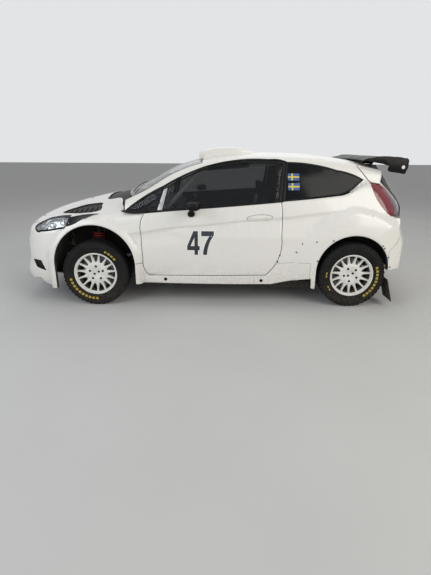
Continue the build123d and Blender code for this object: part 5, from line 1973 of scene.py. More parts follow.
def make_grille():
    low = round_nose_front(trace(GRILLE_FRONT, 14))
    high = round_nose_front(trace(UPPER_GRILLE, 14))
    forms = []
    for line in (low, high):
        us = [p[0] for p in line]
        vs = [p[1] for p in line]
        back = panel("back", ON_NOSE, [grown(line, 24)], sink=54, wall=4, edge=0, step=40,
                     outside="satin_black_trim")
        forms.append(back)
        z = min(vs) + 6
        while z < max(vs) - 8:
            wide = [u for u, v in zip(us, vs) if abs(v - z) < 26]
            if wide:
                u0, u1 = min(wide) - 12, max(wide) + 12
                slat = panel("slat", ON_NOSE,
                             [dense_line([(u0, z), (u1, z), (u1, z + 9), (u0, z + 9)], 26)], sink=20,
                             wall=20, edge=1.4, step=60, outside="textured_black_plastic")
                forms.append(slat)
            z += 27
    whole = join_meshes("front_grille", forms)
    done(whole, "body_shell", ["grille"])


def make_cage():
    hoop = 790.0
    forms = []
    radius = 20.0

    def bar(*points):
        forms.append(tube_form(points, radius, 16, 75))

    bar((hoop, -700, 226), (hoop, -690, 900), (hoop, -560, 1366), (hoop, 560, 1366), (hoop, 690, 900),
        (hoop, 700, 226))
    for s in (-1, 1):
        bar((-560, s * 700, 226), (-560, s * 700, 820), (-130, s * 590, 1300), (hoop, s * 470, 1366))
        bar((-560, s * 700, 560), (hoop, s * 698, 500))
        bar((-560, s * 700, 330), (hoop, s * 698, 380))
        bar((hoop, s * 600, 1240), (1420, s * 500, 600))
        for x in (-560.0, hoop):
            forms.append(box_form(x - 60, x + 60, s * 700 - 44, s * 700 + 44, 224.5, 230, 1.5))
    bar((-150, -595, 1278), (-150, 595, 1278))
    bar((hoop, -500, 1366), (hoop, 694, 700))
    cage = new_object("cage_tubes", *joined_form(forms), ["cage_paint"])
    sleeves = []
    for s in (-1, 1):
        sleeves.append(tube_form([(-70, s * 582, 1306), (330, s * 530, 1336)], 29, 14, 60))
        sleeves.append(tube_form([(hoop, s * 655, 1030), (hoop, s * 612, 1180)], 29, 14, 60))
    pads = new_object("cage_pads", *joined_form(sleeves), ["dash_flock"])
    done(cage, "body_shell", ["roll_cage"])
    done(pads, "body_shell", [])


SEAT_Y = 370.0
# The middle of the seat shell in the side view, x and z, from the front lip to the head
SEAT_SPINE = [(140, 330), (152, 318), (210, 305), (320, 312), (400, 330), (450, 365), (480, 420),
              (510, 520), (540, 640), (566, 760), (590, 880), (612, 980), (630, 1050), (640, 1078)]
# The padded areas, each as rows of x, z, half width, thickness
SEAT_PADS = {
    "seat_base": [(150, 318, 120, 34), (200, 322, 142, 44), (280, 328, 146, 46), (350, 340, 142, 44),
                  (410, 366, 128, 32)],
    "seat_back": [(474, 500, 118, 32), (494, 580, 134, 42), (520, 690, 140, 44), (546, 800, 134, 42),
                  (566, 880, 112, 30)],
    "head_rest": [(590, 962, 84, 26), (602, 1000, 104, 36), (616, 1040, 92, 28)],
}


def seat_half_width(t):
    """Half width of the shell, from the front lip (0) to the head (1)."""
    if t > 0.8:
        return 187 - 40 * (t - 0.8) / 0.2 + 14 * math.sin((t - 0.8) / 0.2 * math.pi)
    return 205 - 40 * max(0, t - 0.55) / 0.45


def seat_wall(t):
    """How far the shell's sides stand up from its middle."""
    if t == 0:
        return 66
    if t < 0.5:
        return 130 if t < 0.35 else 168
    return 96 + 46 * math.sin((t - 0.5) / 0.5 * math.pi * 1.6) ** 2


def seat_shell_form(y):
    """A bucket seat's shell: a sheet that rises at its sides, with its inside just above it."""
    spine = [Vector((x, 0, z)) for x, z in SEAT_SPINE]
    n = 13
    outer, inner = [], []
    for i, p in enumerate(spine):
        t = i / (len(spine) - 1)
        ahead = run_at(spine, i)
        up = Vector((-ahead.z, 0, ahead.x))
        for k in range(n):
            s = -1 + 2 * k / (n - 1)
            rise = seat_wall(t) * max(0.0, (abs(s) - 0.62) / 0.38) ** 1.6
            across = seat_half_width(t) * s
            q = p + up * rise
            outer.append((q.x, y + across, q.z))
            r = p + up * (rise + 4) if abs(s) < 0.9 else q
            inner.append((r.x, y + across * 0.975, r.z))
    rows = len(spine)
    off = rows * n
    faces = []
    for i in range(rows - 1):
        for k in range(n - 1):
            a, b = i * n + k, (i + 1) * n + k
            faces.append((a, b, b + 1, a + 1))
            faces.append((off + a, off + a + 1, off + b + 1, off + b))
    front = list(range(n))
    right = [(i + 1) * n - 1 for i in range(1, rows)]
    back = [(rows - 1) * n + k for k in range(n - 2, -1, -1)]
    border = front + right + back + [i * n for i in range(rows - 2, 0, -1)]
    for a, b in zip(border, border[1:] + border[:1]):
        faces.append((a, b, off + b, off + a))
    return outward(outer + inner, faces)


def make_seats():
    shells, belts = [], []
    for _, side in SIDES:
        y = side * SEAT_Y
        shells.append(seat_shell_form(y))
        for foot in (-1, 1):
            fy = y + foot * 160
            shells.append(box_form(210, 430, fy - 14, fy - 9, 226, 330, 1.5))
            shells.append(box_form(206, 434, fy - 14, fy + 14, 224.5, 230, 1.5))
        for s in (-1, 1):
            # one strap over the shoulder and one over the thigh
            shoulder = [(600, s * 62, 940), (560, s * 62, 850), (520, s * 66, 740), (488, s * 70, 600),
                        (452, s * 60, 470), (420, s * 30, 400)]
            belts.append(strap(shoulder, y, 50, 2.5))
            belts.append(strap([(440, s * 150, 420), (420, s * 90, 398), (400, s * 20, 392)], y, 46, 2.5))
    seat = new_object("seat_shells", *joined_form(shells), ["seat_shell"])
    done(seat, "body_shell", ["seats"])
    for hand, side in SIDES:
        for name, rows in SEAT_PADS.items():
            piece = pad_piece(f"{hand}_{name}", side * SEAT_Y, rows)
            done(piece, "body_shell", [])
    webbing = new_object("harness_webbing", *joined_form(belts), ["webbing_red"])
    done(webbing, "body_shell", [])


def strap(line, y, width, thick):
    """A flat webbing strap along a line, its width across the car."""
    pts = [Vector((p[0], y + p[1], p[2])) for p in line]
    dense = []
    for i in range(len(pts) - 1):
        a, b = pts[max(i - 1, 0)], pts[i]
        c, d = pts[i + 1], pts[min(i + 2, len(pts) - 1)]
        for k in range(6):
            t = k / 6
            dense.append(0.5 * ((2 * b) + (c - a) * t + (2 * a - 5 * b + 4 * c - d) * t * t
                                + (3 * b - a - 3 * c + d) * t**3))
    dense.append(pts[-1])
    rings = []
    for i, p in enumerate(dense):
        ahead = run_at(dense, i)
        out = Vector((ahead.z, 0, -ahead.x))
        if out.x > 0:
            out = -out
        off = p + out * 24
        ring = []
        for u, v in ((-1, -1), (1, -1), (1, 1), (-1, 1)):
            ring.append(tuple(off + Vector((0, u * width / 2, 0)) + out * (v * thick / 2)))
        rings.append(ring)
    return swept_ring(rings)


def pad_piece(name, y, rows):
    """A sewn pad with channels across it, swollen by a cloth simulation and cut back to its place."""
    n_across = 22
    dense = []
    for (x0, z0, h0, t0), (x1, z1, h1, t1) in zip(rows, rows[1:]):
        for k in range(5):
            t = k / 5
            dense.append((x0 + (x1 - x0) * t, z0 + (z1 - z0) * t, h0 + (h1 - h0) * t, t0 + (t1 - t0) * t))
    dense.append(rows[-1])
    rings = []
    for i, (x, z, half, thick) in enumerate(dense):
        j0, j1 = max(i - 1, 0), min(i + 1, len(dense) - 1)
        ahead = Vector((dense[j1][0] - dense[j0][0], 0, dense[j1][1] - dense[j0][1])).normalized()
        out = Vector((-ahead.z, 0, ahead.x))
        end = min(i, len(dense) - 1 - i) / 3
        fat = thick * (0.55 + 0.45 * min(1, end)) - 6
        ring = []
        for k in range(n_across):
            a = 2 * math.pi * k / n_across
            c, s = math.cos(a), math.sin(a)
            u = (half - 6) * math.copysign(abs(c) ** 0.7, c)
            v = fat / 2 * math.copysign(abs(s) ** 0.8, s)
            q = Vector((x, y + u, z)) + out * (6 + fat / 2 + v)
            ring.append(tuple(q))
        rings.append(ring)
    obj = new_object(name, *swept_ring(rings), ["seat_cloth"])
    obj = swollen(obj, name)
    sew_channels(obj, rows)
    smooth = obj.modifiers.new("smooth_cloth", "SUBSURF")
    smooth.levels = smooth.render_levels = 1
    return obj


CLOTH_CELL_M = 0.0065
CLOTH_PRESSURE = 4.0
CLOTH_FRAMES = 20
CLOTH_CAP_M = 0.007


def swollen(obj, name):
    """Blown up gently from inside as cloth, with no point moving further than the cap."""
    remesh = obj.modifiers.new("even_cells", "REMESH")
    remesh.mode = "VOXEL"
    remesh.voxel_size = CLOTH_CELL_M
    even = baked(obj, name, ["seat_cloth"])
    start = np.empty(len(even.data.vertices) * 3)
    even.data.vertices.foreach_get("co", start)
    cloth = even.modifiers.new("blown_cloth", "CLOTH")
    cloth.settings.use_pressure = True
    cloth.settings.uniform_pressure_force = CLOTH_PRESSURE
    cloth.settings.effector_weights.gravity = 0.0
    cloth.settings.quality = 5
    cloth.settings.mass = 0.3
    cloth.point_cache.frame_start = 1
    cloth.point_cache.frame_end = CLOTH_FRAMES
    scene = bpy.context.scene
    for step in range(1, CLOTH_FRAMES + 1):
        scene.frame_set(step)
    graph = bpy.context.evaluated_depsgraph_get()
    shape = even.evaluated_get(graph).data
    now = np.empty(len(shape.vertices) * 3)
    shape.vertices.foreach_get("co", now)
    even.modifiers.remove(cloth)
    scene.frame_set(1)
    a, b = start.reshape(-1, 3), now.reshape(-1, 3)
    move = b - a
    far = np.linalg.norm(move, axis=1)
    move *= np.minimum(1.0, CLOTH_CAP_M / np.maximum(far, 1e-9))[:, None]
    even.data.vertices.foreach_set("co", (a + move).ravel())
    even.data.update()
    even.data.polygons.foreach_set("use_smooth", [True] * len(even.data.polygons))
    return even


def sew_channels(obj, rows):
    """Stitched channels pressed into the face of a pad, a hand's width apart."""
    co = np.empty(len(obj.data.vertices) * 3)
    obj.data.vertices.foreach_get("co", co)
    p = co.reshape(-1, 3)
    first = np.array([rows[0][0], 0, rows[0][1]]) * MM
    last = np.array([rows[-1][0], 0, rows[-1][1]]) * MM
    along = last - first
    length = np.linalg.norm(along)
    along /= length
    place = (p - first) @ along
    spacing, depth, half_width = 0.055, 0.005, 0.006
    channels = max(2, int(length / spacing))
    out = np.array([-along[2], 0, along[0]])
    for k in range(1, channels):
        d = place - length * k / channels
        p -= out * (depth * np.exp(-((d / half_width) ** 2)))[:, None]
    obj.data.vertices.foreach_set("co", p.ravel())
    obj.data.update()


STEERING_PLACE = (-150, -370, 880)
STEERING_TILT = math.radians(68)


def make_dashboard():
    forms = []
    section = trace([(-704, 744), (-700, 896), (-560, 946, -424, 928), (-364, 880), (-388, 764),
                     (-520, 704)], 16)
    rings = []
    half = 638
    for y in np.linspace(-half, half, 41):
        t = abs(y) / half
        swell = 6 * math.sin(math.pi * min(1, abs(abs(y) - 370) / 170) / 2) if abs(y) < 540 else 6
        rings.append([(x - (4 if x > -420 else 0) * (t > 0.985), y, z - (6 - swell) * (z > 860))
                      for x, z in section])
    forms.append(swept_ring(rings))
    hood = []
    for y in np.linspace(-500, -240, 13):
        rise = 34 * math.sin(math.pi * (y + 500) / 260) ** 0.5 if -500 < y < -240 else 0
        hood.append([(-560, y, 926), (-470, y, 930 + rise * 0.9), (-400, y, 918 + rise),
                     (-392, y, 912 + rise), (-430, y, 900 + rise * 0.5), (-560, y, 912)])
    forms.append(swept_ring(hood))
    dash = new_object("dash_top", *joined_form(forms), ["dash_flock"])
    dials = []
    for y, z, r in ((-410, 905, 34), (-330, 905, 34), (-140, 880, 22), (-90, 880, 22), (40, 880, 22)):
        dial = lathe([(r, 0), (r, 5), (r - 3, 6), (r - 4, 3), (0.3, 3), (0.3, 0)], 28)
        facing_back = Matrix.Rotation(math.radians(-90), 4, "Z") @ Matrix.Rotation(math.radians(12), 4, "X")
        place = Matrix.Translation((-392, y, z - 20)) @ facing_back
        dials.append(outward(*moved_form(dial, place)))
    for k in range(8):
        dials.append(box_form(-384, -372, 90 + k * 26, 106 + k * 26, 806, 822, 1.2))
    faces = new_object("dash_dials", *joined_form(dials), ["brushed_steel"])
    switches = box_form(-392, -380, 76, 306, 790, 838, 3)
    plate = new_object("switch_plate", *switches, ["aluminium_sheet"])
    axis = Vector((math.sin(STEERING_TILT), 0, math.cos(STEERING_TILT)))
    middle = Vector(STEERING_PLACE)
    column = tube_form([tuple(middle + axis * -305), tuple(middle + axis * -76)], 23.5, 20, 10)
    tube = new_object("steering_column", *column, ["cabin_paint"])
    whole = join_meshes("dashboard_assembly", [dash, faces, plate, tube])
    done(whole, "body_shell", ["dashboard"])


def make_steering_wheel():
    turn = Matrix.Translation(STEERING_PLACE) @ Matrix.Rotation(STEERING_TILT, 4, "Y")
    turns = [2 * math.pi * k / 14 for k in range(14)]
    grip = [(160 + 13.6 * math.cos(b), 13.6 * math.sin(b)) for b in turns]
    rim = new_object("rim", *outward(*moved_form(lathe(grip, 56, axis="Z"), turn)), ["suede_grip"])
    forms = []
    for a in (90, 210, 330):
        spoke = box_form(30, 156, -11, 11, -19, -13, 1.6)
        m4 = turn @ Matrix.Rotation(math.radians(a), 4, "Z")
        forms.append(moved_form(spoke, m4))
    boss = lathe([(33, -70), (33.6, -66), (33.6, -20), (30, -12), (26, -10.5), (0.4, -10.5), (0.4, -70)],
                 32, axis="Z")
    forms.append(outward(*moved_form(boss, turn)))
    metal = new_object("spokes", *joined_form(forms), ["satin_black_trim"])
    whole = join_meshes("steering_wheel_assembly", [rim, metal])
    done(whole, "steering_wheel", ["steering_wheel"])


# CAD nodes that are shown as they are, and their finish
CARRIED_OVER = {
    "floor_pan": "underbody_coating",
    "front_chassis": "underbody_coating",
    "rear_suspension": "underbody_coating",
    "exhaust": "exhaust_steel",
    "mudflaps": "textured_black_plastic",
    "engine_block": "aluminium_sheet",
    "sump_guard": "aluminium_sheet",
    "left_knuckle": "underbody_coating",
    "right_knuckle": "underbody_coating",
}


def make_underbody():
    for node, finish_name in CARRIED_OVER.items():
        dress(node, finish_name)
    for hand, side in SIDES:
        liner = new_object(f"{hand}_front_arch_liner", *liner_form(side), ["underbody_coating"])
        done(liner, "body_shell", [])
        steps = 14
        points = []
        for k in range(6 * steps + 1):
            a = 2 * math.pi * k / steps
            points.append((-1150 + 55 * math.cos(a), side * 632 + 55 * math.sin(a), 700 - k * (150 / 84)))
        coil = new_object(f"{hand}_front_spring", *coil_form(points, 6.5), ["spring_red"])
        done(coil, f"{hand}_knuckle", [])


def liner_form(side):
    """The curved liner over a front wheel, with an opening for the spring and damper."""
    centre_x, centre_z, radius, wall = -1146.0, 412.0, 403.0, 3.0
    n, across = 44, 7
    ring = 2 * across
    verts = []
    for k in range(n + 1):
        a = math.radians(-6 + 192 * k / n)
        for r in (radius, radius + wall):
            for y in np.linspace(side * 480.0, side * 828.0, across):
                verts.append((centre_x + r * math.cos(a), y, centre_z + r * math.sin(a)))
    faces = []
    for i in range(n):
        for layer in (0, 1):
            for k in range(across - 1):
                b = i * ring + layer * across + k
                faces.append((b, b + 1, b + ring + 1, b + ring))
        for b in (i * ring, i * ring + across - 1):
            faces.append((b, b + across, b + ring + across, b + ring))
    kept = []
    for face in faces:
        x, y, z = np.mean([verts[i] for i in face], axis=0)
        if not (abs(abs(y) - 590) < 95 and abs(x + 1150) < 95 and z > 700):
            kept.append(face)
    return verts, kept


def coil_form(points, radius, around=8):
    """A round wire along a coil that stands upright."""
    pts = [Vector(p) for p in points]
    rings = []
    for i, p in enumerate(pts):
        ahead = run_at(pts, i)
        x = Vector((0, 0, 1)).cross(ahead).normalized()
        rings.append(round_ring(p, x, ahead.cross(x), radius, around))
    return swept_ring(rings)


# Plain digits as strokes of the side view, each inside a box one unit wide and one high
DIGITS = {
    "0": [[(0.5, 0.0), (0.13, 0.13, 0.0, 0.5), (0.13, 0.87, 0.5, 1.0), (0.87, 0.87, 1.0, 0.5),
           (0.87, 0.13, 0.5, 0.0)],
          [(0.5, 0.17), (0.33, 0.25, 0.28, 0.5), (0.33, 0.75, 0.5, 0.83), (0.67, 0.75, 0.72, 0.5),
           (0.67, 0.25, 0.5, 0.17)]],
    "1": [[(0.36, 0.0), (0.66, 0.0), (0.66, 1.0), (0.42, 1.0), (0.16, 0.80), (0.16, 0.66), (0.36, 0.74)]],
    "4": [[(0.58, 0.0), (0.86, 0.0), (0.86, 0.20), (1.0, 0.20), (1.0, 0.38), (0.86, 0.38), (0.86, 1.0),
           (0.50, 1.0), (0.0, 0.38), (0.0, 0.20), (0.58, 0.20)],
          [(0.58, 0.38), (0.58, 0.74), (0.27, 0.38)]],
    "7": [[(0.14, 0.0), (0.46, 0.0), (0.60, 0.42, 1.0, 0.84), (1.0, 1.0), (0.0, 1.0), (0.0, 0.80),
           (0.66, 0.80), (0.30, 0.44, 0.14, 0.0)]],
}


def placed_digit(shape, x0, x1, z0, z1):
    """The strokes of a digit in its place on the flank."""
    out = []
    for p in shape:
        q = []
        for i in range(0, len(p), 2):
            q += [x0 + (x1 - x0) * p[i], z0 + (z1 - z0) * p[i + 1]]
        out.append(tuple(q))
    return out


def number_panels(number, height, turned):
    """The digits with a pale line round each, on the left flank, turned if they are for the right."""
    width, space = 119.0, 15.0
    total = len(number) * width + (len(number) - 1) * space
    z0 = 629.5 - height / 2
    digits, outlines = [], []
    for i, digit in enumerate(number):
        place = len(number) - 1 - i if turned else i
        x0 = -127 - total / 2 + place * (width + space)
        lines = []
        for shape in DIGITS[digit]:
            if turned:
                shape = [tuple(1 - v if k % 2 == 0 else v for k, v in enumerate(p)) for p in shape]
            lines.append(trace(placed_digit(shape, x0, x0 + width, z0, z0 + height), 9))
        digits.append(panel("digit", ON_FLANK, [lines[0]], lines[1:], sink=-1.9, wall=0.8, edge=0, step=20,
                            outside="number_vinyl"))
        outlines.append(panel("outline", ON_FLANK, [grown(lines[0], 7)], [grown(l, -6) for l in lines[1:]],
                              sink=-1.4, wall=0.5, edge=0, step=20, outside="white_vinyl"))
    return digits + outlines


def make_number():
    marks = bpy.context.scene.rally_marks
    height = marks.number_height / MM
    left = join_meshes("left_door_number", number_panels(marks.door_number, height, False))
    done(left, "left_door", [])
    turned = join_meshes("turned_number", number_panels(marks.door_number, height, True))
    right = copied_across(turned, "right_door_number")
    bpy.data.objects.remove(turned)
    done(right, "right_door", [])


def make_flags():
    forms = []
    for x0, x1, z0, z1 in ((692, 800, 1200, 1262), (696, 804, 1114, 1176)):
        def area(a, b, c, d):
            return trace([(x0 + (x1 - x0) * a, z0 + (z1 - z0) * c),
                          (x0 + (x1 - x0) * b, z0 + (z1 - z0) * c),
                          (x0 + (x1 - x0) * b, z0 + (z1 - z0) * d),
                          (x0 + (x1 - x0) * a, z0 + (z1 - z0) * d)], 12)
        forms.append(panel("field", ON_CABIN, [area(0, 1, 0, 1)], sink=2.2, wall=0.5, edge=0, step=30,
                           outside="blue_vinyl"))
        forms.append(panel("bar", ON_CABIN, [area(0, 1, 0.40, 0.60)], sink=1.9, wall=0.6, edge=0, step=30,
                           outside="yellow_vinyl"))
        forms.append(panel("post", ON_CABIN, [area(0.31, 0.44, 0, 1)], sink=1.8, wall=0.6, edge=0, step=30,
                           outside="yellow_vinyl"))
    left = join_meshes("left_window_flags", forms)
    done(both_sides("window_flags", left), "body_shell", [])


def make_seams():
    """Thin rubber runs and joint lines that close the gaps between panels."""
    divider = trace([(-536, 928), (-490, 928), (-438, 1126), (-474, 1112)], 14)
    strip = panel("strip", ON_CABIN, [divider], sink=-1.2, wall=6, edge=1.2, step=20,
                  outside="aluminium_sheet")
    joints = []
    for line in ([(392, 226), (392, 300)], [(600, 430), (640, 440), (760, 446), (924, 449)],
                 [(924, 449), (926, 300)]):
        run = dense_line(line, 20, False)
        edge = [(x + 2.4, z - 2.4) for x, z in run]
        joints.append(panel("joint", ON_FLANK, [run + edge[::-1]], sink=-0.2, wall=0.8, edge=0, step=30,
                            outside="joint_grey_and_recess_shade"))
    left = join_meshes("left_body_seams", joints)
    done(both_sides("sill_joint_lines", left), "body_shell", [])
    done(both_sides("window_divider_strips", strip), "body_shell", [])


def make_wipers():
    forms = []
    for y0, y1 in ((-520, 60), (60, 560)):
        pts = []
        for t in np.linspace(0, 1, 12):
            y = y0 + (y1 - y0) * t
            p, _ = ON_ROOF(np.array([[-800 + 10 * t, y]]))
            pts.append((p[0, 0], y, p[0, 2] + 9))
        forms.append(tube_form(pts, 5.5, 8, 10))
    arms = new_object("wiper_arms", *joined_form(forms), ["satin_black_trim"])
    done(arms, "body_shell", [])


# Scene

# place in metres, then the turns about the upright, across and along the view
CAMERA_PLACE = (0.032, -4.592, 1.4765)
CAMERA_YAW = math.radians(-0.21)
CAMERA_PITCH = math.radians(19.11)
CAMERA_ROLL = math.radians(-0.365)
FOCAL_PX = 400.0
PHOTO_HEIGHT_PX = 575.0


FLOOR_HALF_M = 40.0
# name, place and the point it looks at in metres, power in watts, size in metres, tint
LIGHTS = [
    ("warm_key_light", (5.0, -5.4, 3.7), (0.3, 0.0, 0.5), 238.0, 4.4, (1.0, 0.96, 0.88)),
    ("cool_nose_light", (-4.8, -4.8, 3.2), (-0.6, 0.0, 0.5), 178.0, 4.4, (0.88, 0.93, 1.0)),
    ("top_light", (0.4, 1.2, 5.4), (0.0, 0.0, 0.8), 54.0, 6.0, (1.0, 1.0, 1.0)),
    ("back_light", (0.6, 5.4, 4.6), (0.0, 0.0, 0.7), 45.0, 6.0, (1.0, 1.0, 1.0)),
]


def make_floor():
    mesh = bpy.data.meshes.new("studio_floor")
    s = FLOOR_HALF_M
    mesh.from_pydata([(-s, -s, 0), (s, -s, 0), (s, s, 0), (-s, s, 0)], [], [(0, 1, 2, 3)])
    floor = bpy.data.objects.new("studio_floor", mesh)
    bpy.context.scene.collection.objects.link(floor)
    # pale even grey with slow, barely seen changes of tone
    material, tree, place = blank_material("pale_studio_floor")
    soft = add(tree, "ShaderNodeTexNoise", {"Vector": place, "Scale": per_metre(900), "Detail": 3.0})
    colour = add(tree, "ShaderNodeMix", {0: soft.outputs["Fac"], 6: linear("#CFCFCD"),
                                         7: linear("#C6C6C4")},
                 data_type="RGBA").outputs[2]
    shader = add(tree, "ShaderNodeBsdfPrincipled", {"Base Color": colour, "Roughness": 0.85})
    put_out(material, shader, linear("#CFCFCD"))
    mesh.materials.append(material)


def make_air():
    """The pale surroundings: bright where they are seen or mirrored, weaker as light on the car."""
    world = bpy.data.worlds.new("studio_air")
    bpy.context.scene.world = world
    world.use_nodes = True
    air = world.node_tree
    air.nodes.clear()
    path = add(air, "ShaderNodeLightPath")
    mirrored_ray = add(air, "ShaderNodeMath", {0: path.outputs["Is Glossy Ray"],
                                               1: path.outputs["Is Transmission Ray"]},
                       operation="MAXIMUM")
    seen = add(air, "ShaderNodeMath", {0: path.outputs["Is Camera Ray"], 1: mirrored_ray.outputs[0]},
               operation="MAXIMUM")
    strength = add(air, "ShaderNodeMapRange", {"Value": seen.outputs[0], "To Min": 0.36, "To Max": 0.85})
    glow = add(air, "ShaderNodeBackground",
               {"Color": linear("#F4F5F7"), "Strength": strength.outputs["Result"]})
    air_out = add(air, "ShaderNodeOutputWorld")
    air.links.new(glow.outputs[0], air_out.inputs["Surface"])


def make_lights():
    for name, place, aim, power, size, tint in LIGHTS:
        lamp = bpy.data.lights.new(name, "AREA")
        lamp.shape = "SQUARE"
        lamp.size = size
        lamp.energy = power
        lamp.color = tint
        obj = bpy.data.objects.new(name, lamp)
        bpy.context.scene.collection.objects.link(obj)
        obj.location = place
        obj.rotation_euler = (Vector(aim) - Vector(place)).to_track_quat("-Z", "Y").to_euler()


def make_camera():
    """The camera that took the photograph, from its place, turn, dip and roll."""
    scene = bpy.context.scene
    camera_data = bpy.data.cameras.new("photo_camera")
    camera_data.sensor_width = 36.0
    camera_data.lens = FOCAL_PX / PHOTO_HEIGHT_PX * camera_data.sensor_width
    camera_data.sensor_fit = "AUTO"
    camera_data.clip_end = 200.0
    camera = bpy.data.objects.new("photo_camera", camera_data)
    scene.collection.objects.link(camera)
    level = math.cos(CAMERA_PITCH)
    forward = Vector((math.sin(CAMERA_YAW) * level, math.cos(CAMERA_YAW) * level, -math.sin(CAMERA_PITCH)))
    flat_right = Vector((math.cos(CAMERA_YAW), -math.sin(CAMERA_YAW), 0))
    flat_down = forward.cross(flat_right)
    right = math.cos(CAMERA_ROLL) * flat_right + math.sin(CAMERA_ROLL) * flat_down
    down = -math.sin(CAMERA_ROLL) * flat_right + math.cos(CAMERA_ROLL) * flat_down
    rows = Matrix((right, -down, -forward)).transposed()
    camera.matrix_world = Matrix.Translation(CAMERA_PLACE) @ rows.to_4x4()
    scene.camera = camera
    scene.view_settings.view_transform = "Standard"


class RallyPaint(bpy.types.PropertyGroup):
    body_colour: FloatVectorProperty(name="Body colour", description="Colour of the painted panels",
                                     subtype="COLOR_GAMMA", size=3,
                                     min=0.0, max=1.0, default=(0.905, 0.9, 0.875))


class RallyWheels(bpy.types.PropertyGroup):
    windows: IntProperty(name="Wheel windows", description="Openings round the face of each wheel",
                         default=15, min=5, max=30)
    tread_blocks: IntProperty(name="Tread blocks", description="Blocks round the tyre in each row of tread",
                              default=46, min=20, max=80)


class RallyMarks(bpy.types.PropertyGroup):
    door_number: StringProperty(name="Door number",
        description="Plain number on both doors, of the digits 0, 1, 4 and 7", default="47", maxlen=2)
    number_height: FloatProperty(name="Number height", description="Height of the door number",
                                 default=0.227, min=0.05, max=0.35, subtype="DISTANCE", unit="LENGTH")


class RALLY_OT_finishes(bpy.types.Operator):
    """Make the procedural finishes of paint, glass, rubber, metal and cloth"""
    bl_idname = "rally.finishes"
    bl_label = "Finishes"

    def execute(self, context):
        make_finishes()
        return {"FINISHED"}


class RALLY_OT_sides(bpy.types.Operator):
    """Build the side shells with sills, pillars, window bands and rear flares"""
    bl_idname = "rally.sides"
    bl_label = "Side shells"

    def execute(self, context):
        make_side_frames()
        make_seams()
        return {"FINISHED"}


class RALLY_OT_wings(bpy.types.Operator):
    """Build the front wings with their flares"""
    bl_idname = "rally.wings"
    bl_label = "Front wings"

    def execute(self, context):
        make_wings()
        return {"FINISHED"}


class RALLY_OT_doors(bpy.types.Operator):
    """Build the doors with handles, mirrors and their number"""
    bl_idname = "rally.doors"
    bl_label = "Doors"

    def execute(self, context):
        make_doors()
        make_handles()
        make_mirrors()
        make_number()
        return {"FINISHED"}


class RALLY_OT_glass(bpy.types.Operator):
    """Build the windscreen, the side panes and the small flags on them"""
    bl_idname = "rally.glass"
    bl_label = "Glass"

    def execute(self, context):
        make_side_glass()
        make_windscreen()
        make_flags()
        return {"FINISHED"}


class RALLY_OT_top(bpy.types.Operator):
    """Build the roof, its air scoop, the bonnet and the scuttle"""
    bl_idname = "rally.top"
    bl_label = "Roof and bonnet"

    def execute(self, context):
        make_roof()
        make_scoop()
        make_bonnet()
        make_cowl()
        make_wipers()
        return {"FINISHED"}


class RALLY_OT_bumpers(bpy.types.Operator):
    """Build the bumpers and the grille"""
    bl_idname = "rally.bumpers"
    bl_label = "Bumpers"

    def execute(self, context):
        make_front_bumper()
        make_grille()
        make_rear_bumper()
        return {"FINISHED"}


class RALLY_OT_tail(bpy.types.Operator):
    """Build the tailgate with spoiler, window and rear wing"""
    bl_idname = "rally.tail"
    bl_label = "Tailgate and wing"

    def execute(self, context):
        make_tailgate()
        make_rear_wing()
        return {"FINISHED"}


class RALLY_OT_lamps(bpy.types.Operator):
    """Build the headlamps and tail lamps"""
    bl_idname = "rally.lamps"
    bl_label = "Lamps"

    def execute(self, context):
        make_lamps()
        return {"FINISHED"}


class RALLY_OT_wheels(bpy.types.Operator):
    """Build the four wheels with discs and gravel tyres"""
    bl_idname = "rally.wheels"
    bl_label = "Wheels"

    def execute(self, context):
        make_wheels()
        return {"FINISHED"}


class RALLY_OT_cabin(bpy.types.Operator):
    """Build the roll cage, seats, dashboard and steering wheel"""
    bl_idname = "rally.cabin"
    bl_label = "Cabin"

    def execute(self, context):
        make_cage()
        make_seats()
        make_dashboard()
        make_steering_wheel()
        return {"FINISHED"}


class RALLY_OT_underbody(bpy.types.Operator):
    """Finish the underside, arch liners and springs"""
    bl_idname = "rally.underbody"
    bl_label = "Underbody"

    def execute(self, context):
        make_underbody()
        return {"FINISHED"}


class RALLY_OT_fasteners(bpy.types.Operator):
    """Set the bolts of the flares and the bonnet pins"""
    bl_idname = "rally.fasteners"
    bl_label = "Bolts and pins"

    def execute(self, context):
        make_fasteners()
        return {"FINISHED"}


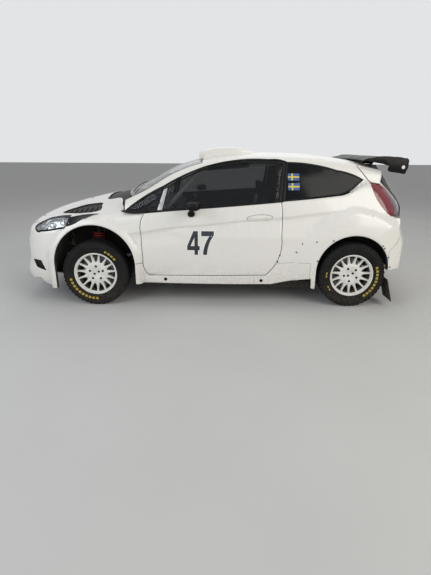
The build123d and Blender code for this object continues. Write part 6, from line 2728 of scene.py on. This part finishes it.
class RALLY_OT_stage(bpy.types.Operator):
    """Set the floor, the studio lights and the camera"""
    bl_idname = "rally.stage"
    bl_label = "Stage"

    def execute(self, context):
        make_floor()
        make_air()
        make_lights()
        make_camera()
        return {"FINISHED"}


STEPS = (RALLY_OT_finishes, RALLY_OT_stage, RALLY_OT_sides, RALLY_OT_wings, RALLY_OT_doors, RALLY_OT_glass,
         RALLY_OT_top,
         RALLY_OT_bumpers, RALLY_OT_tail, RALLY_OT_lamps, RALLY_OT_wheels, RALLY_OT_cabin,
         RALLY_OT_underbody, RALLY_OT_fasteners)


class RALLY_PT_build(bpy.types.Panel):
    """Sizes, colours and build steps of the rally car"""
    bl_label = "Rally Car"
    bl_idname = "RALLY_PT_build"
    bl_space_type = "VIEW_3D"
    bl_region_type = "UI"
    bl_category = "Rally Car"

    def draw(self, context):
        layout = self.layout
        scene = context.scene
        layout.prop(scene.rally_paint, "body_colour")
        layout.prop(scene.rally_wheels, "windows")
        layout.prop(scene.rally_wheels, "tread_blocks")
        layout.prop(scene.rally_marks, "door_number")
        layout.prop(scene.rally_marks, "number_height")
        for step in STEPS:
            layout.operator(step.bl_idname)


CLASSES = (RallyPaint, RallyWheels, RallyMarks) + STEPS + (RALLY_PT_build,)


def register():
    for item in CLASSES:
        bpy.utils.register_class(item)
    bpy.types.Scene.rally_paint = PointerProperty(type=RallyPaint)
    bpy.types.Scene.rally_wheels = PointerProperty(type=RallyWheels)
    bpy.types.Scene.rally_marks = PointerProperty(type=RallyMarks)


def unregister():
    del bpy.types.Scene.rally_marks
    del bpy.types.Scene.rally_wheels
    del bpy.types.Scene.rally_paint
    for item in reversed(CLASSES):
        bpy.utils.unregister_class(item)


def main():
    register()
    ops = bpy.ops.rally
    ops.finishes()
    ops.stage()
    ops.sides()
    ops.wings()
    ops.doors()
    ops.glass()
    ops.top()
    ops.bumpers()
    ops.tail()
    ops.lamps()
    ops.wheels()
    ops.cabin()
    ops.underbody()
    ops.fasteners()


if __name__ == "__main__":
    main()
